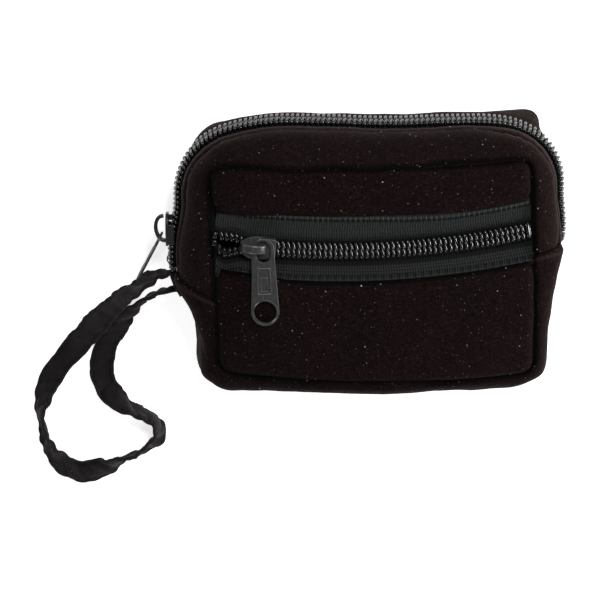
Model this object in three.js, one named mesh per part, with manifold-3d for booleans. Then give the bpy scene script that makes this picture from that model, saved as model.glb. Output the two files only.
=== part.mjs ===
// Small suede zippered pouch with a wrist strap, lying on its back.
// Millimetres. +X right, +Y towards the pouch's top, +Z out of its front face.
// The origin is the centre of the back panel's outer face.
import * as THREE from "three";
import { mergeVertices } from "three/addons/utils/BufferGeometryUtils.js";
import Module from "manifold-3d";

const wasm = await Module();
wasm.setup();

// ---- Driving dimensions ----
const HALF_WIDTH = 67.2;          // pouch, centre to the main zip line at either side
const TOP_Y = 47.2;               // main zip line at the top
const BOTTOM_Y = -49.2;           // lowest bulge of the bottom gusset
const TOP_LEFT_R = 26;
const TOP_RIGHT_R = 22;
const FRONT = { x0: -51.5, x1: 55, y0: -38.5, y1: 33.5 };   // seam of the front face
const FRONT_Z = 37.4;             // crest of the front face
const SEAM_Z = 33;                // crest of the strip that surrounds the front face
const SHOULDER_Z = 24;            // height where the side walls start to curve inwards
const SUEDE = 2;                  // suede wall, doubled and turned at its edges
const PANEL = 1.8;
const GAP = 0.3;                  // clearance between touching pieces
const HINGE_Y = -23.5;            // the front folds open about this line
const ZIP_Z = 19.5;               // centre of the main chain
const CHAIN_SLOT = 1.2;           // slot between the two coils, for the slider's post
const COIL_WIDTH = 2.6;           // one coil
const TAPE = 0.8;

// The pocket chain lies on an arc in a plane tilted from the front face by BOW_TILT.
const CHAIN_R = 292;
const BOW_TILT = THREE.MathUtils.degToRad(25);
const CHAIN_LOW = new THREE.Vector3(-10, 5.4, 34.4);       // lowest and proudest point
const CHAIN_START = -39.5;        // tape ends, as arc lengths from CHAIN_LOW
const CHAIN_END = 60;
const POCKET_UPPER_EDGE = 11.6;   // panel edges either side of the pocket chain
const POCKET_LOWER_EDGE = -10.6;
const TAPE_UNDERLAP = 1.8;
const POCKET_SLIDER_AT = -27;

const MAIN_SLIDER_Y = 9.5;
const PULL_RING_R = 3.8;
const PULL_WINDOW_R = 2.4;
const PULL_HOLE_AT = 21.8;
const PULL_HOLE_R = 3.85;
const PULL_END_R = 4.8;
const PULL_THICK = 1.2;
const STRAP_WIDTH = 8.5;
const STRAP_THICK = 1.1;

// ---- Materials ----
const paint = (color, roughness, metalness = 0) =>
  new THREE.MeshStandardMaterial({ color, roughness, metalness });
const SUEDE_BROWN = paint(0x1c1412, 0.95);
const TAPE_GREY = paint(0x23282a, 0.85);
const COIL_BLACK = paint(0x0b0b0c, 0.3);
const METAL_DARK = paint(0x2b2b2d, 0.4, 0.9);
const COTTON_BLACK = paint(0x120f10, 0.9);
const LINING = paint(0x191717, 0.9);

const group = new THREE.Group();

function addPart(name, geometry, material) {
  const mesh = new THREE.Mesh(geometry, material);
  mesh.name = name;
  group.add(mesh);
  return mesh;
}

// ---- Solids ----
function toSolid(geometry) {
  const bare = geometry.clone();
  bare.deleteAttribute("normal");
  bare.deleteAttribute("uv");
  const merged = mergeVertices(bare, 1e-4);
  return new wasm.Manifold(new wasm.Mesh({
    numProp: 3,
    vertProperties: new Float32Array(merged.attributes.position.array),
    triVerts: new Uint32Array(merged.index.array),
  }));
}

function toGeometry(solid) {
  const mesh = solid.getMesh();
  const geometry = new THREE.BufferGeometry();
  geometry.setAttribute("position", new THREE.BufferAttribute(mesh.vertProperties, 3));
  geometry.setIndex(new THREE.BufferAttribute(mesh.triVerts, 1));
  geometry.computeVertexNormals();
  return geometry;
}

function box(x0, x1, y0, y1, z0, z1) {
  const geometry = new THREE.BoxGeometry(x1 - x0, y1 - y0, z1 - z0);
  geometry.translate((x0 + x1) / 2, (y0 + y1) / 2, (z0 + z1) / 2);
  return toSolid(geometry);
}

function prism(shape, z0, z1, steps = 1, curveSegments = 12) {
  const depth = z1 - z0;
  const geometry = new THREE.ExtrudeGeometry(
    shape, { depth, steps, curveSegments, bevelEnabled: false });
  geometry.translate(0, 0, z0);
  return geometry;
}

// Move every vertex of a closed geometry; the body stays closed.
function moveVertices(geometry, move) {
  const position = geometry.attributes.position;
  const point = new THREE.Vector3();
  for (let i = 0; i < position.count; i += 1) {
    point.fromBufferAttribute(position, i);
    move(point);
    position.setXYZ(i, point.x, point.y, point.z);
  }
  geometry.computeVertexNormals();
  return geometry;
}

// ---- Outline of the pouch, seen from the front ----
function pouchPath() {
  const low = { x: -58.5, y: -37 };
  const right = { x: 62.8, y: -34 };
  const path = new THREE.Path();
  path.moveTo(-HALF_WIDTH, 0);
  path.lineTo(-HALF_WIDTH, TOP_Y - TOP_LEFT_R);
  path.absarc(-HALF_WIDTH + TOP_LEFT_R, TOP_Y - TOP_LEFT_R, TOP_LEFT_R, Math.PI, Math.PI / 2, true);
  path.lineTo(HALF_WIDTH - TOP_RIGHT_R, TOP_Y);
  path.absarc(HALF_WIDTH - TOP_RIGHT_R, TOP_Y - TOP_RIGHT_R, TOP_RIGHT_R, Math.PI / 2, 0, true);
  path.lineTo(HALF_WIDTH, 14);
  path.bezierCurveTo(HALF_WIDTH, 0, right.x + 1, -14, right.x, right.y);
  path.quadraticCurveTo(right.x, BOTTOM_Y + 1.5, 46, BOTTOM_Y + 1);
  path.quadraticCurveTo(2, BOTTOM_Y - 1, -46, BOTTOM_Y + 1);
  path.quadraticCurveTo(low.x, BOTTOM_Y + 1.5, low.x, low.y);
  path.bezierCurveTo(low.x, -14, -HALF_WIDTH, -14, -HALF_WIDTH, 0);
  return path;
}

const OUTLINE = pouchPath().getSpacedPoints(88).slice(0, -1);

function outline(inset) {
  return OUTLINE.map((point, i) => {
    const before = OUTLINE[(i + OUTLINE.length - 1) % OUTLINE.length];
    const after = OUTLINE[(i + 1) % OUTLINE.length];
    const along = after.clone().sub(before).normalize();
    return new THREE.Vector2(point.x + along.y * inset, point.y - along.x * inset);
  });
}

function outlineWall(outer, inner, z0, z1) {
  const shape = new THREE.Shape(outline(outer));
  shape.holes.push(new THREE.Path(outline(inner).reverse()));
  return toSolid(prism(shape, z0, z1));
}

// Pillow-shaped solid: upright to SHOULDER_Z, then drawn in towards the front seam.
function pillow(inset, base, crest) {
  const rises = [0, 0.25, 0.5, 0.7, 0.85, 0.95];
  const geometry = prism(new THREE.Shape(outline(inset)), 0, rises.length, rises.length);
  return toSolid(moveVertices(geometry, (p) => {
    const level = Math.round(p.z);
    if (level === 0) {
      p.z = base;
      return;
    }
    const rise = rises[level - 1];
    const draw = 1 - Math.sqrt(1 - rise * rise);
    p.x += draw * (THREE.MathUtils.clamp(p.x, FRONT.x0, FRONT.x1) - p.x);
    p.y += draw * (THREE.MathUtils.clamp(p.y, FRONT.y0, FRONT.y1) - p.y);
    p.z = SHOULDER_Z + rise * (crest - SHOULDER_Z);
  }));
}

// ---- Cuts between the zipped arch and the gusset below it ----
const seamY = (x) => -0.3 + 0.084 * x;    // from the left zip end to the right one

function bandAbove(low, high) {
  const reach = 90;
  const shape = new THREE.Shape([
    new THREE.Vector2(-reach, seamY(-reach) + low),
    new THREE.Vector2(reach, seamY(reach) + low),
    new THREE.Vector2(reach, seamY(reach) + high),
    new THREE.Vector2(-reach, seamY(-reach) + high),
  ]);
  return toSolid(prism(shape, -10, 60));
}

const FAR = 100;
const ARCH = bandAbove(GAP / 2, FAR);
const BELOW_ARCH = bandAbove(-FAR, -GAP / 2);
const STOP_LENGTH = 2;
const STOP_BAND = bandAbove(GAP, GAP + STOP_LENGTH);
const CHAIN_ARCH = bandAbove(2 * GAP + STOP_LENGTH, FAR);
const LEFT = box(-FAR, 0, -FAR, FAR, -10, 60);
const RIGHT = box(0, FAR, -FAR, FAR, -10, 60);

function shellParts() {
  const opening = box(FRONT.x0 - GAP, FRONT.x1 + GAP, FRONT.y0 - GAP, FRONT.y1 + GAP, -10, 60);
  const shell = pillow(0, 0, SEAM_Z)
    .subtract(pillow(SUEDE, -1, SEAM_Z - SUEDE))
    .subtract(opening);
  const from = (z0, z1) => box(-FAR, FAR, -FAR, FAR, z0, z1);
  const backGap = SUEDE + GAP;
  const coilReach = CHAIN_SLOT / 2 + COIL_WIDTH + GAP;
  addPart("front_arch_strip",
    toGeometry(shell.intersect(from(ZIP_Z + coilReach, 60)).intersect(ARCH)), SUEDE_BROWN);
  addPart("rear_strip",
    toGeometry(shell.intersect(from(backGap, ZIP_Z - coilReach)).intersect(ARCH)), SUEDE_BROWN);
  addPart("lower_gusset",
    toGeometry(shell.intersect(from(backGap, 60)).intersect(BELOW_ARCH)), SUEDE_BROWN);
}

function backPanel() {
  const shape = new THREE.Shape();
  shape.moveTo(-54, -47.5);
  shape.quadraticCurveTo(-59, -47.5, -59, -42);
  shape.lineTo(-59, 36);
  shape.quadraticCurveTo(-58.5, 40.5, -53, 41);
  shape.lineTo(-38, 45.5);
  shape.lineTo(30, 46.6);
  shape.lineTo(54, 48.4);
  shape.quadraticCurveTo(60.5, 48.6, 61, 42);
  shape.lineTo(61, -41);
  shape.quadraticCurveTo(61, -47.5, 55, -47.5);
  addPart("back_panel", prism(shape, 0, SUEDE, 1, 4), SUEDE_BROWN);
}

function linings() {
  const clear = SUEDE + 2 * GAP;
  const floor = prism(new THREE.Shape(outline(clear)), SUEDE + GAP, SUEDE + GAP + 0.6);
  addPart("back_lining", floor, LINING);
  const walls = outlineWall(SUEDE + GAP, SUEDE + GAP + 0.5, 3.4, 14.2);
  addPart("side_lining", toGeometry(walls), LINING);
  const shape = new THREE.Shape([
    new THREE.Vector2(FRONT.x0 + 3, HINGE_Y + 1),
    new THREE.Vector2(FRONT.x1 - 3, HINGE_Y + 1),
    new THREE.Vector2(FRONT.x1 - 3, FRONT.y1 - 1),
    new THREE.Vector2(FRONT.x0 + 3, FRONT.y1 - 1),
  ]);
  addPart("pocket_lining", prism(shape, 25.6, 26.2), LINING);
}

// ---- Main zip: two tapes and two coils round the arch, and their stops ----
function mainZip() {
  const tapeOut = SUEDE + GAP;
  const tapeIn = tapeOut + TAPE;
  const coilOut = -TAPE;
  const near = CHAIN_SLOT / 2;
  const far = near + COIL_WIDTH;
  const sides = { front: 1, rear: -1 };
  for (const [side, sign] of Object.entries(sides)) {
    const span = (a, b) => [ZIP_Z + sign * a, ZIP_Z + sign * b].sort((p, q) => p - q);
    const tape = outlineWall(tapeOut, tapeIn, ...span(near, far + 1.5)).intersect(ARCH);
    const row = outlineWall(coilOut, SUEDE, ...span(near, far));
    addPart(`main_tape_${side}`, toGeometry(tape), TAPE_GREY);
    addPart(`main_coil_${side}`, toGeometry(row.intersect(CHAIN_ARCH)), COIL_BLACK);
    const stop = row.intersect(STOP_BAND).intersect(LEFT);
    addPart(`main_top_stop_${side}`, toGeometry(stop), COIL_BLACK);
  }
  const bottomStop = outlineWall(coilOut, SUEDE, ZIP_Z - far, ZIP_Z - near)
    .intersect(STOP_BAND).intersect(RIGHT);
  addPart("main_bottom_stop", toGeometry(bottomStop), COIL_BLACK);
}

// ---- Crowned front face ----
const bowAxis = new THREE.Vector3(0, Math.sin(BOW_TILT), Math.cos(BOW_TILT));
const bowCentre = CHAIN_LOW.clone().add(
  new THREE.Vector3(0, Math.cos(BOW_TILT), -Math.sin(BOW_TILT)).multiplyScalar(CHAIN_R));

// Matrix that carries the straight chain frame (s, v, w) to arc length s on the bow.
function onChain(s) {
  const turn = new THREE.Matrix4().makeRotationAxis(bowAxis, s / CHAIN_R);
  const out = new THREE.Matrix4().makeTranslation(bowCentre);
  const back = new THREE.Matrix4().makeTranslation(CHAIN_LOW.clone().sub(bowCentre));
  return out.multiply(turn).multiply(back);
}

function chainPart(s0, s1, v0, v1, w0, w1) {
  const pieces = Math.max(1, Math.round((s1 - s0) / 5));
  const geometry = new THREE.BoxGeometry(s1 - s0, v1 - v0, w1 - w0, pieces, 1, 1);
  geometry.translate((s0 + s1) / 2, (v0 + v1) / 2, (w0 + w1) / 2);
  return moveVertices(geometry, (p) => {
    const place = onChain(p.x);
    p.x = 0;
    p.applyMatrix4(place);
  });
}

const chainRise = (x) => (x - CHAIN_LOW.x) ** 2 / (2 * CHAIN_R);
const chainY = (x) => CHAIN_LOW.y + Math.cos(BOW_TILT) * chainRise(x);
const FRONT_FALL = 0.0008;        // the face falls away above and below the chain
const faceZ = (x, y) => FRONT_Z - Math.sin(BOW_TILT) * chainRise(x)
  - FRONT_FALL * (y - CHAIN_LOW.y) ** 2;

function facePlate(name, lowEdge, highEdge, rows) {
  const geometry = new THREE.BoxGeometry(1, 1, 1, 16, rows, 1);
  addPart(name, moveVertices(geometry, (p) => {
    const x = THREE.MathUtils.lerp(FRONT.x0, FRONT.x1, p.x + 0.5);
    const y = THREE.MathUtils.lerp(lowEdge(x), highEdge(x), p.y + 0.5);
    p.set(x, y, faceZ(x, y) + (p.z - 0.5) * PANEL);
  }), SUEDE_BROWN);
}

function frontFace() {
  facePlate("front_upper_panel", (x) => chainY(x) + POCKET_UPPER_EDGE, () => FRONT.y1, 3);
  facePlate("front_mid_panel", () => HINGE_Y + GAP / 2, (x) => chainY(x) + POCKET_LOWER_EDGE, 3);
  facePlate("front_lower_panel", () => FRONT.y0, () => HINGE_Y - GAP / 2, 3);
}

// ---- Pocket zip ----
const COIL_BASE = 0.65;           // heights above the middle of the tape
const COIL_TOP = 2.6;

function pocketZip() {
  const near = CHAIN_SLOT / 2;
  const far = near + COIL_WIDTH - 0.2;
  const inner = CHAIN_START + STOP_LENGTH + GAP;
  const outer = CHAIN_END - STOP_LENGTH - GAP;
  const rows = {
    upper: [near, far, POCKET_UPPER_EDGE + TAPE_UNDERLAP],
    lower: [-far, -near, POCKET_LOWER_EDGE - TAPE_UNDERLAP],
  };
  for (const [side, [v0, v1, edge]] of Object.entries(rows)) {
    const [t0, t1] = edge > 0 ? [near, edge] : [edge, -near];
    const tape = chainPart(CHAIN_START, CHAIN_END, t0, t1, -TAPE / 2, TAPE / 2);
    addPart(`pocket_tape_${side}`, tape, TAPE_GREY);
    addPart(`pocket_coil_${side}`, chainPart(inner, outer, v0, v1, COIL_BASE, COIL_TOP), COIL_BLACK);
    const stop = chainPart(CHAIN_START, CHAIN_START + STOP_LENGTH, v0, v1, COIL_BASE, COIL_TOP);
    addPart(`pocket_top_stop_${side}`, stop, COIL_BLACK);
  }
  const bottomStop = chainPart(CHAIN_END - STOP_LENGTH, CHAIN_END, -far, far, COIL_BASE, COIL_TOP);
  addPart("pocket_bottom_stop", bottomStop, COIL_BLACK);
}

// ---- Sliders and pulls ----
const SLIDER = { length: 11.6, nose: 7.8, tail: 6.6, plate: 0.8 };

// Plate outline: round nose towards -x, narrower tail towards +x.
function sliderShape() {
  const half = SLIDER.length / 2;
  const shape = new THREE.Shape();
  shape.moveTo(half, -SLIDER.tail / 2);
  shape.lineTo(half, SLIDER.tail / 2);
  shape.lineTo(0, SLIDER.nose / 2);
  shape.quadraticCurveTo(-half, SLIDER.nose / 2, -half, 0);
  shape.quadraticCurveTo(-half, -SLIDER.nose / 2, 0, -SLIDER.nose / 2);
  return shape;
}

function pocketSlider() {
  const top = COIL_TOP + GAP;
  const under = -TAPE / 2 - GAP;
  const half = SLIDER.length / 2;
  const plate = sliderShape();
  const flangeIn = CHAIN_SLOT / 2 + COIL_WIDTH - 0.2 + 0.15;
  const flangeOut = flangeIn + 0.6;
  const flange = (v0, v1) => box(0, half - 0.4, v0, v1, TAPE / 2 + 0.2, top + 0.4);
  const body = toSolid(prism(plate, top, top + SLIDER.plate, 1, 5))
    .add(toSolid(prism(plate, under - SLIDER.plate, under, 1, 5)))
    .add(box(-half + 1.2, -half + 4, -0.4, 0.4, under - 0.4, top + 0.4))
    .add(flange(flangeIn, flangeOut))
    .add(flange(-flangeOut, -flangeIn));
  const seat = onChain(POCKET_SLIDER_AT);
  addPart("pocket_slider_body", toGeometry(body).applyMatrix4(seat), METAL_DARK);
  const plateTop = top + SLIDER.plate + GAP;
  const arch = archStrip([[-5, 0], [-5, 1.6], [-3.6, 2.9], [-1.2, 3.1], [1.2, 2.4], [1.8, 0]], 0.9, 2.2);
  arch.rotateX(Math.PI / 2);
  arch.translate(0, 0, plateTop);
  addPart("pocket_slider_crown", arch.applyMatrix4(seat), METAL_DARK);
  const ring = new THREE.Vector3(1.6, 0, plateTop + 0.1 + PULL_THICK / 2).applyMatrix4(seat);
  const pull = pullGeometry();
  pull.rotateX(THREE.MathUtils.degToRad(2));
  pull.rotateZ(THREE.MathUtils.degToRad(1.7));
  pull.translate(ring.x, ring.y, ring.z);
  addPart("pocket_pull", pull, METAL_DARK);
}

// A bent strip of even thickness whose centreline runs in the xy plane.
function archStrip(points, thick, width) {
  const line = new THREE.CatmullRomCurve3(points.map(([x, y]) => new THREE.Vector3(x, y, 0)));
  const samples = line.getPoints(14);
  const edge = (side) => samples.map((p, i) => {
    const along = line.getTangent(i / 14);
    return new THREE.Vector2(p.x - side * along.y * thick / 2, p.y + side * along.x * thick / 2);
  });
  const shape = new THREE.Shape([...edge(1), ...edge(-1).reverse()]);
  return prism(shape, -width / 2, width / 2);
}

// Pull tab: ring head at the origin, tab running towards -y, round hole near its end.
function pullGeometry() {
  const shape = new THREE.Shape();
  shape.absarc(0, 0, PULL_RING_R, 0, Math.PI, false);
  shape.lineTo(-PULL_END_R, -PULL_HOLE_AT);
  shape.absarc(0, -PULL_HOLE_AT, PULL_END_R, Math.PI, 2 * Math.PI, false);
  shape.lineTo(PULL_RING_R, 0);
  const window = new THREE.Path();
  window.absarc(0, 0, PULL_WINDOW_R, 0, 2 * Math.PI, true);
  const hole = new THREE.Path();
  hole.absarc(0, -PULL_HOLE_AT, PULL_HOLE_R, 0, 2 * Math.PI, true);
  shape.holes.push(window, hole);
  return prism(shape, -PULL_THICK / 2, PULL_THICK / 2, 1, 14);
}

// The main slider rides on the left upright of the zip and travels along Y.
function mainSlider() {
  const outside = -HALF_WIDTH - TAPE - GAP;
  const inside = -HALF_WIDTH + SUEDE + 2 * GAP + TAPE;
  const low = MAIN_SLIDER_Y - SLIDER.length / 2 + 1;
  const high = MAIN_SLIDER_Y + SLIDER.length / 2 - 1;
  const half = SLIDER.nose / 2;
  const post = CHAIN_SLOT / 2 - 0.2;
  const rear = ZIP_Z - CHAIN_SLOT / 2 - COIL_WIDTH - GAP;
  const body = box(outside - 1, outside, low, high, ZIP_Z - half - 0.6, ZIP_Z + half)
    .add(box(inside, inside + 1, low, high, ZIP_Z - half, ZIP_Z + half))
    .add(box(outside - 0.4, inside + 0.4, low + 0.6, low + 3.4, ZIP_Z - post, ZIP_Z + post))
    .add(box(outside - 0.4, outside + 0.7, low + 2, high, rear - 0.8, rear));
  addPart("main_slider_body", toGeometry(body), METAL_DARK);
  const face = outside - 1 - GAP;
  const route = [[0.1, 4.9], [-2.2, 5.2], [-3.6, 7.6], [-3.8, 10.4], [-2.8, 13], [-1.3, 13.9]];
  const crown = archStrip(route.map(([x, y]) => [face + x, y]), 1, 2.2);
  crown.translate(0, 0, ZIP_Z);
  addPart("main_slider_crown", crown, METAL_DARK);
  const heading = THREE.MathUtils.degToRad(-116.7);
  const droop = THREE.MathUtils.degToRad(40);
  const barToRing = (PULL_RING_R + PULL_WINDOW_R) / 2;
  const along = new THREE.Vector3(Math.cos(heading), Math.sin(heading), 0);
  const ring = new THREE.Vector3(-70.9, 7.8, ZIP_Z).addScaledVector(along, barToRing);
  const pull = pullGeometry();
  pull.rotateZ(Math.PI / 2);
  pull.rotateX(Math.PI / 2);
  pull.rotateY(droop);
  pull.rotateZ(heading);
  pull.translate(ring.x, ring.y, ring.z);
  addPart("main_pull", pull, METAL_DARK);
}

// ---- Wrist strap ----
// Route of the loop: x, y, roll in degrees (0 lies flat, 90 stands on edge), height of its
// lower edge above the surface. The same route is written out again in the scene.
const STRAP_ROUTE = [
  [-69.8, -7.8, 88, 12.6], [-73.2, -8.6, 80, 13.2], [-78.8, -11.2, 55, 14.0],
  [-87.0, -17.6, 32, 9.6], [-95.4, -26.8, 14, 4.2], [-104.6, -38.0, 4, 1.0],
  [-112.4, -48.0, 8, 0.4], [-115.8, -55.6, 42, 0.4], [-116.4, -64.4, 74, 0.4],
  [-114.6, -74.0, 52, 0.4], [-110.0, -82.0, 14, 0.4], [-103.4, -85.6, 2, 0.4],
  [-96.4, -83.8, 16, 0.4], [-89.8, -80.6, 62, 0.4], [-83.4, -77.0, 80, 0.4],
  [-77.2, -73.6, 58, 0.4], [-74.0, -69.4, 64, 0.4], [-75.6, -64.6, 80, 0.4],
  [-80.2, -61.4, 84, 0.4], [-85.4, -59.0, 72, 0.4], [-90.6, -56.0, 38, 0.4],
  [-94.2, -51.6, 10, 0.4], [-95.6, -45.0, 2, 0.4], [-94.4, -36.6, 8, 0.6],
  [-90.2, -28.6, 36, 2.2], [-84.6, -21.6, 70, 5.0], [-77.6, -15.6, 86, 9.0],
  [-71.6, -12.4, 88, 11.6], [-68.4, -11.4, 90, 12.6],
];

function strapPoints() {
  return STRAP_ROUTE.map(([x, y, roll, lift]) => {
    const lean = THREE.MathUtils.degToRad(roll);
    const rise = STRAP_WIDTH / 2 * Math.sin(lean) + STRAP_THICK / 2 * Math.cos(lean);
    return new THREE.Vector4(x, y, lift + rise, lean);
  });
}

function wristStrap() {
  const knots = strapPoints();
  const centre = new THREE.CatmullRomCurve3(knots.map((k) => new THREE.Vector3(k.x, k.y, k.z)));
  const lean = new THREE.CatmullRomCurve3(knots.map((k, i) => new THREE.Vector3(i, k.w, 0)));
  const pieces = 84;
  const geometry = new THREE.BoxGeometry(1, STRAP_WIDTH, STRAP_THICK, pieces, 1, 1);
  moveVertices(geometry, (p) => {
    const t = THREE.MathUtils.clamp(p.x + 0.5, 0, 1);
    const at = centre.getPoint(t);
    const along = centre.getTangent(t).setZ(0).normalize();
    const roll = lean.getPoint(t).y;
    const side = new THREE.Vector3(-along.y, along.x, 0);
    const up = new THREE.Vector3(0, 0, 1);
    const width = side.clone().multiplyScalar(Math.cos(roll)).addScaledVector(up, Math.sin(roll));
    const normal = up.clone().multiplyScalar(Math.cos(roll)).addScaledVector(side, -Math.sin(roll));
    const { y, z } = p;
    p.copy(at).addScaledVector(width, y).addScaledVector(normal, z);
  });
  addPart("wrist_strap", geometry, COTTON_BLACK);
  const anchor = outlineWall(-GAP - 2.2, -GAP, 12.6, 21.4)
    .intersect(box(-FAR, 0, -13.6, -6.5, 0, 60));
  addPart("strap_anchor", toGeometry(anchor), COTTON_BLACK);
}

backPanel();
shellParts();
linings();
mainZip();
frontFace();
pocketZip();
pocketSlider();
mainSlider();
wristStrap();

export default group;
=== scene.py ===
"""Small suede zippered pouch with a wrist strap, lying on its back: the visual model."""
import math

import bmesh
import bpy
import numpy as np
from mathutils import Matrix, Vector, noise


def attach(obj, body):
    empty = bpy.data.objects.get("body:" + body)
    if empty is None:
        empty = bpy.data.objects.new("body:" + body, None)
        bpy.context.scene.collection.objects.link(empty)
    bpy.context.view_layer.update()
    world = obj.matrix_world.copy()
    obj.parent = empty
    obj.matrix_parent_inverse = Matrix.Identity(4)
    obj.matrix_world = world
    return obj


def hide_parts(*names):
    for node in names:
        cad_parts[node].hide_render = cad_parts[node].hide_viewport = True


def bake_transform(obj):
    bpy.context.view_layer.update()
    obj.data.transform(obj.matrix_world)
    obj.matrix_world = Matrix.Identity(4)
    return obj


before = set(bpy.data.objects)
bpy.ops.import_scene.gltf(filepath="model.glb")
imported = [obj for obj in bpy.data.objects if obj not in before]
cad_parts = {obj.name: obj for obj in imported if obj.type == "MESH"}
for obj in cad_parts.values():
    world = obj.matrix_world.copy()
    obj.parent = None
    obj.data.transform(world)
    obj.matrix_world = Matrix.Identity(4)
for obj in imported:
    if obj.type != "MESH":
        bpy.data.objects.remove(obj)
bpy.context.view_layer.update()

MM = 0.001
SHARP_ANGLE = math.radians(40)

# ---- Dimensions in millimetres, as in the CAD model ----
HALF_WIDTH = 67.2
TOP_Y = 47.2
TOP_LEFT_R = 26
TOP_RIGHT_R = 22
FRONT_LOW = np.array([-51.5, -38.5])     # the front face inside its seam, before it is bent
FRONT_HIGH = np.array([55.0, 33.5])
FRONT_Z = 37.4
ZIP_Z = 19.5                             # height of the main zip's middle
CHAIN_R = 292.0                          # the pocket zip bows on a large arc, tilted back
BOW_TILT = math.radians(25)
CHAIN_LOW = np.array([-10, 5.4, 34.4])   # lowest point of that arc, and its ends along it
CHAIN_START = -39.5
CHAIN_END = 60.0
POCKET_UPPER_EDGE = 11.6                 # folded edges of the suede, from the pocket zip's middle
POCKET_LOWER_EDGE = -10.6
POCKET_SLIDER_AT = -27.0
COIL_PITCH = 1.76
SUEDE = 1.7
LINING_THICK = 0.4
LIP_STITCH = 3.9                         # rows of stitches, from the edge beside them
REAR_STITCH = 2.5
FOLD_STITCH = 2.4
STRAP_STITCH = 1.35

# ---- Detail that only the visual model has, in millimetres ----
STEP = 0.8                               # between the outline's points
RIB_PITCH = 0.87                         # of the tapes' weave
GROOVE_DEPTH = 3.6                       # of the seam round the front
SEAM_Z = 2.1                             # height of the back panel's seam


# ---- Mesh building ----
def smooth(x):
    """Eased step from 0 at 0 to 1 at 1."""
    x = np.clip(x, 0, 1)
    return x * x * (3 - 2 * x)


def bump(x, width):
    """A bell of height 1 round x = 0."""
    return np.exp(-(x / width) ** 2)


def unit(vectors):
    return vectors / np.maximum(np.linalg.norm(vectors, axis=-1, keepdims=True), 1e-9)


def wave_line(run, period, shift=0.0):
    """A cosine along a length, with the given period."""
    return np.cos(2 * math.pi * run / period + shift)


def path_length(points):
    """Distance along a line to each of its points."""
    return np.concatenate([[0], np.cumsum(np.linalg.norm(np.diff(points, axis=0), axis=1))])


def along_path(at, run, points):
    """Points or directions at given distances along a line."""
    return np.stack([np.interp(at, run, column) for column in points.T], axis=1)


def waviness(points, size, seed):
    """Smooth noise of about -1 to 1 at each point, with features of the given size in mm."""
    flat = points.reshape(-1, 3) / size + seed * 17.3
    values = [noise.noise(Vector(p)) for p in flat.tolist()]
    return np.array(values).reshape(points.shape[:-1]) * 1.7


def add_object(name, data):
    """A new object in the scene."""
    made = bpy.data.objects.new(name, data)
    bpy.context.scene.collection.objects.link(made)
    return made


def clean_up(mesh, weld_within=None):
    """Joins points that coincide and turns all faces outwards."""
    work = bmesh.new()
    work.from_mesh(mesh)
    if weld_within:
        bmesh.ops.remove_doubles(work, verts=work.verts, dist=weld_within)
    bmesh.ops.recalc_face_normals(work, faces=work.faces)
    work.to_mesh(mesh)
    work.free()
    mesh.polygons.foreach_set("use_smooth", [True] * len(mesh.polygons))


def make_piece(name, points, faces, material, lay=None, tone=None, weld=True):
    """Object from points in mm. lay is a position on the cloth in mm and tone a shade, per point.
    A tone of 1 is plain, towards 0 is darker and towards 2 is paler. Tones below 1 mostly paint shade
    in grooves, creases and under edges, and tones above 1 mostly paint highlights on lips and puffs."""
    points = np.asarray(points, float)
    mesh = bpy.data.meshes.new(name)
    mesh.from_pydata((points * MM).tolist(), [], faces)
    if lay is not None:
        corners = np.empty(len(mesh.loops), dtype=np.int32)
        mesh.loops.foreach_get("vertex_index", corners)
        layer = mesh.uv_layers.new(name="Lay")
        layer.data.foreach_set("uv", np.asarray(lay, np.float32)[corners].ravel())
    # The Tone attribute carries painted shade and painted highlights as well as some of the cloth's
    # own marks.
    shade = mesh.attributes.new("Tone", "FLOAT", "POINT")
    values = np.ones(len(points)) if tone is None else np.asarray(tone, float).ravel()
    shade.data.foreach_set("value", values.astype(np.float32))
    clean_up(mesh, 1e-6 if weld else None)
    mesh.materials.append(material)
    return add_object(name, mesh)


def ring_faces(rows, columns, first=0, closed=False):
    """Faces of a tube with the given number of rings and points in a ring, its ends capped."""
    faces = []
    for i in range(rows if closed else rows - 1):
        a = first + i * columns
        b = first + (i + 1) % rows * columns
        for j in range(columns):
            k = (j + 1) % columns
            faces.append((a + j, a + k, b + k, b + j))
    if not closed:
        for start in (first, first + (rows - 1) * columns):
            for j in range(columns // 2 - 1):
                far = columns - 1 - j
                faces.append((start + j, start + j + 1, start + far - 1, start + far))
    return faces


def frames_along(path, up):
    """Side and up directions at each point of a path, as near to the given up as they can be."""
    along = unit(np.gradient(path, axis=0))
    side = unit(np.cross(np.broadcast_to(up, along.shape), along))
    return side, np.cross(along, side)


def tube(path, radius, sides=8, up=(0, 0, 1)):
    """Rings round a path. radius may vary along it."""
    path = np.asarray(path, float)
    side, rise = frames_along(path, np.asarray(up, float))
    radius = np.broadcast_to(radius, len(path))[:, None, None]
    turn = np.linspace(0, 2 * math.pi, sides, endpoint=False)
    across = np.cos(turn)[None, :, None] * side[:, None, :]
    upward = np.sin(turn)[None, :, None] * rise[:, None, :]
    return path[:, None, :] + radius * (across + upward)


def tubes_piece(name, tubes, material):
    """One object made of several tubes."""
    points, faces, first = [], [], 0
    for rings in tubes:
        rows, columns, _ = rings.shape
        points.append(rings.reshape(-1, 3))
        faces += ring_faces(rows, columns, first)
        first += rows * columns
    return make_piece(name, np.concatenate(points), faces, material, weld=False)


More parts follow.
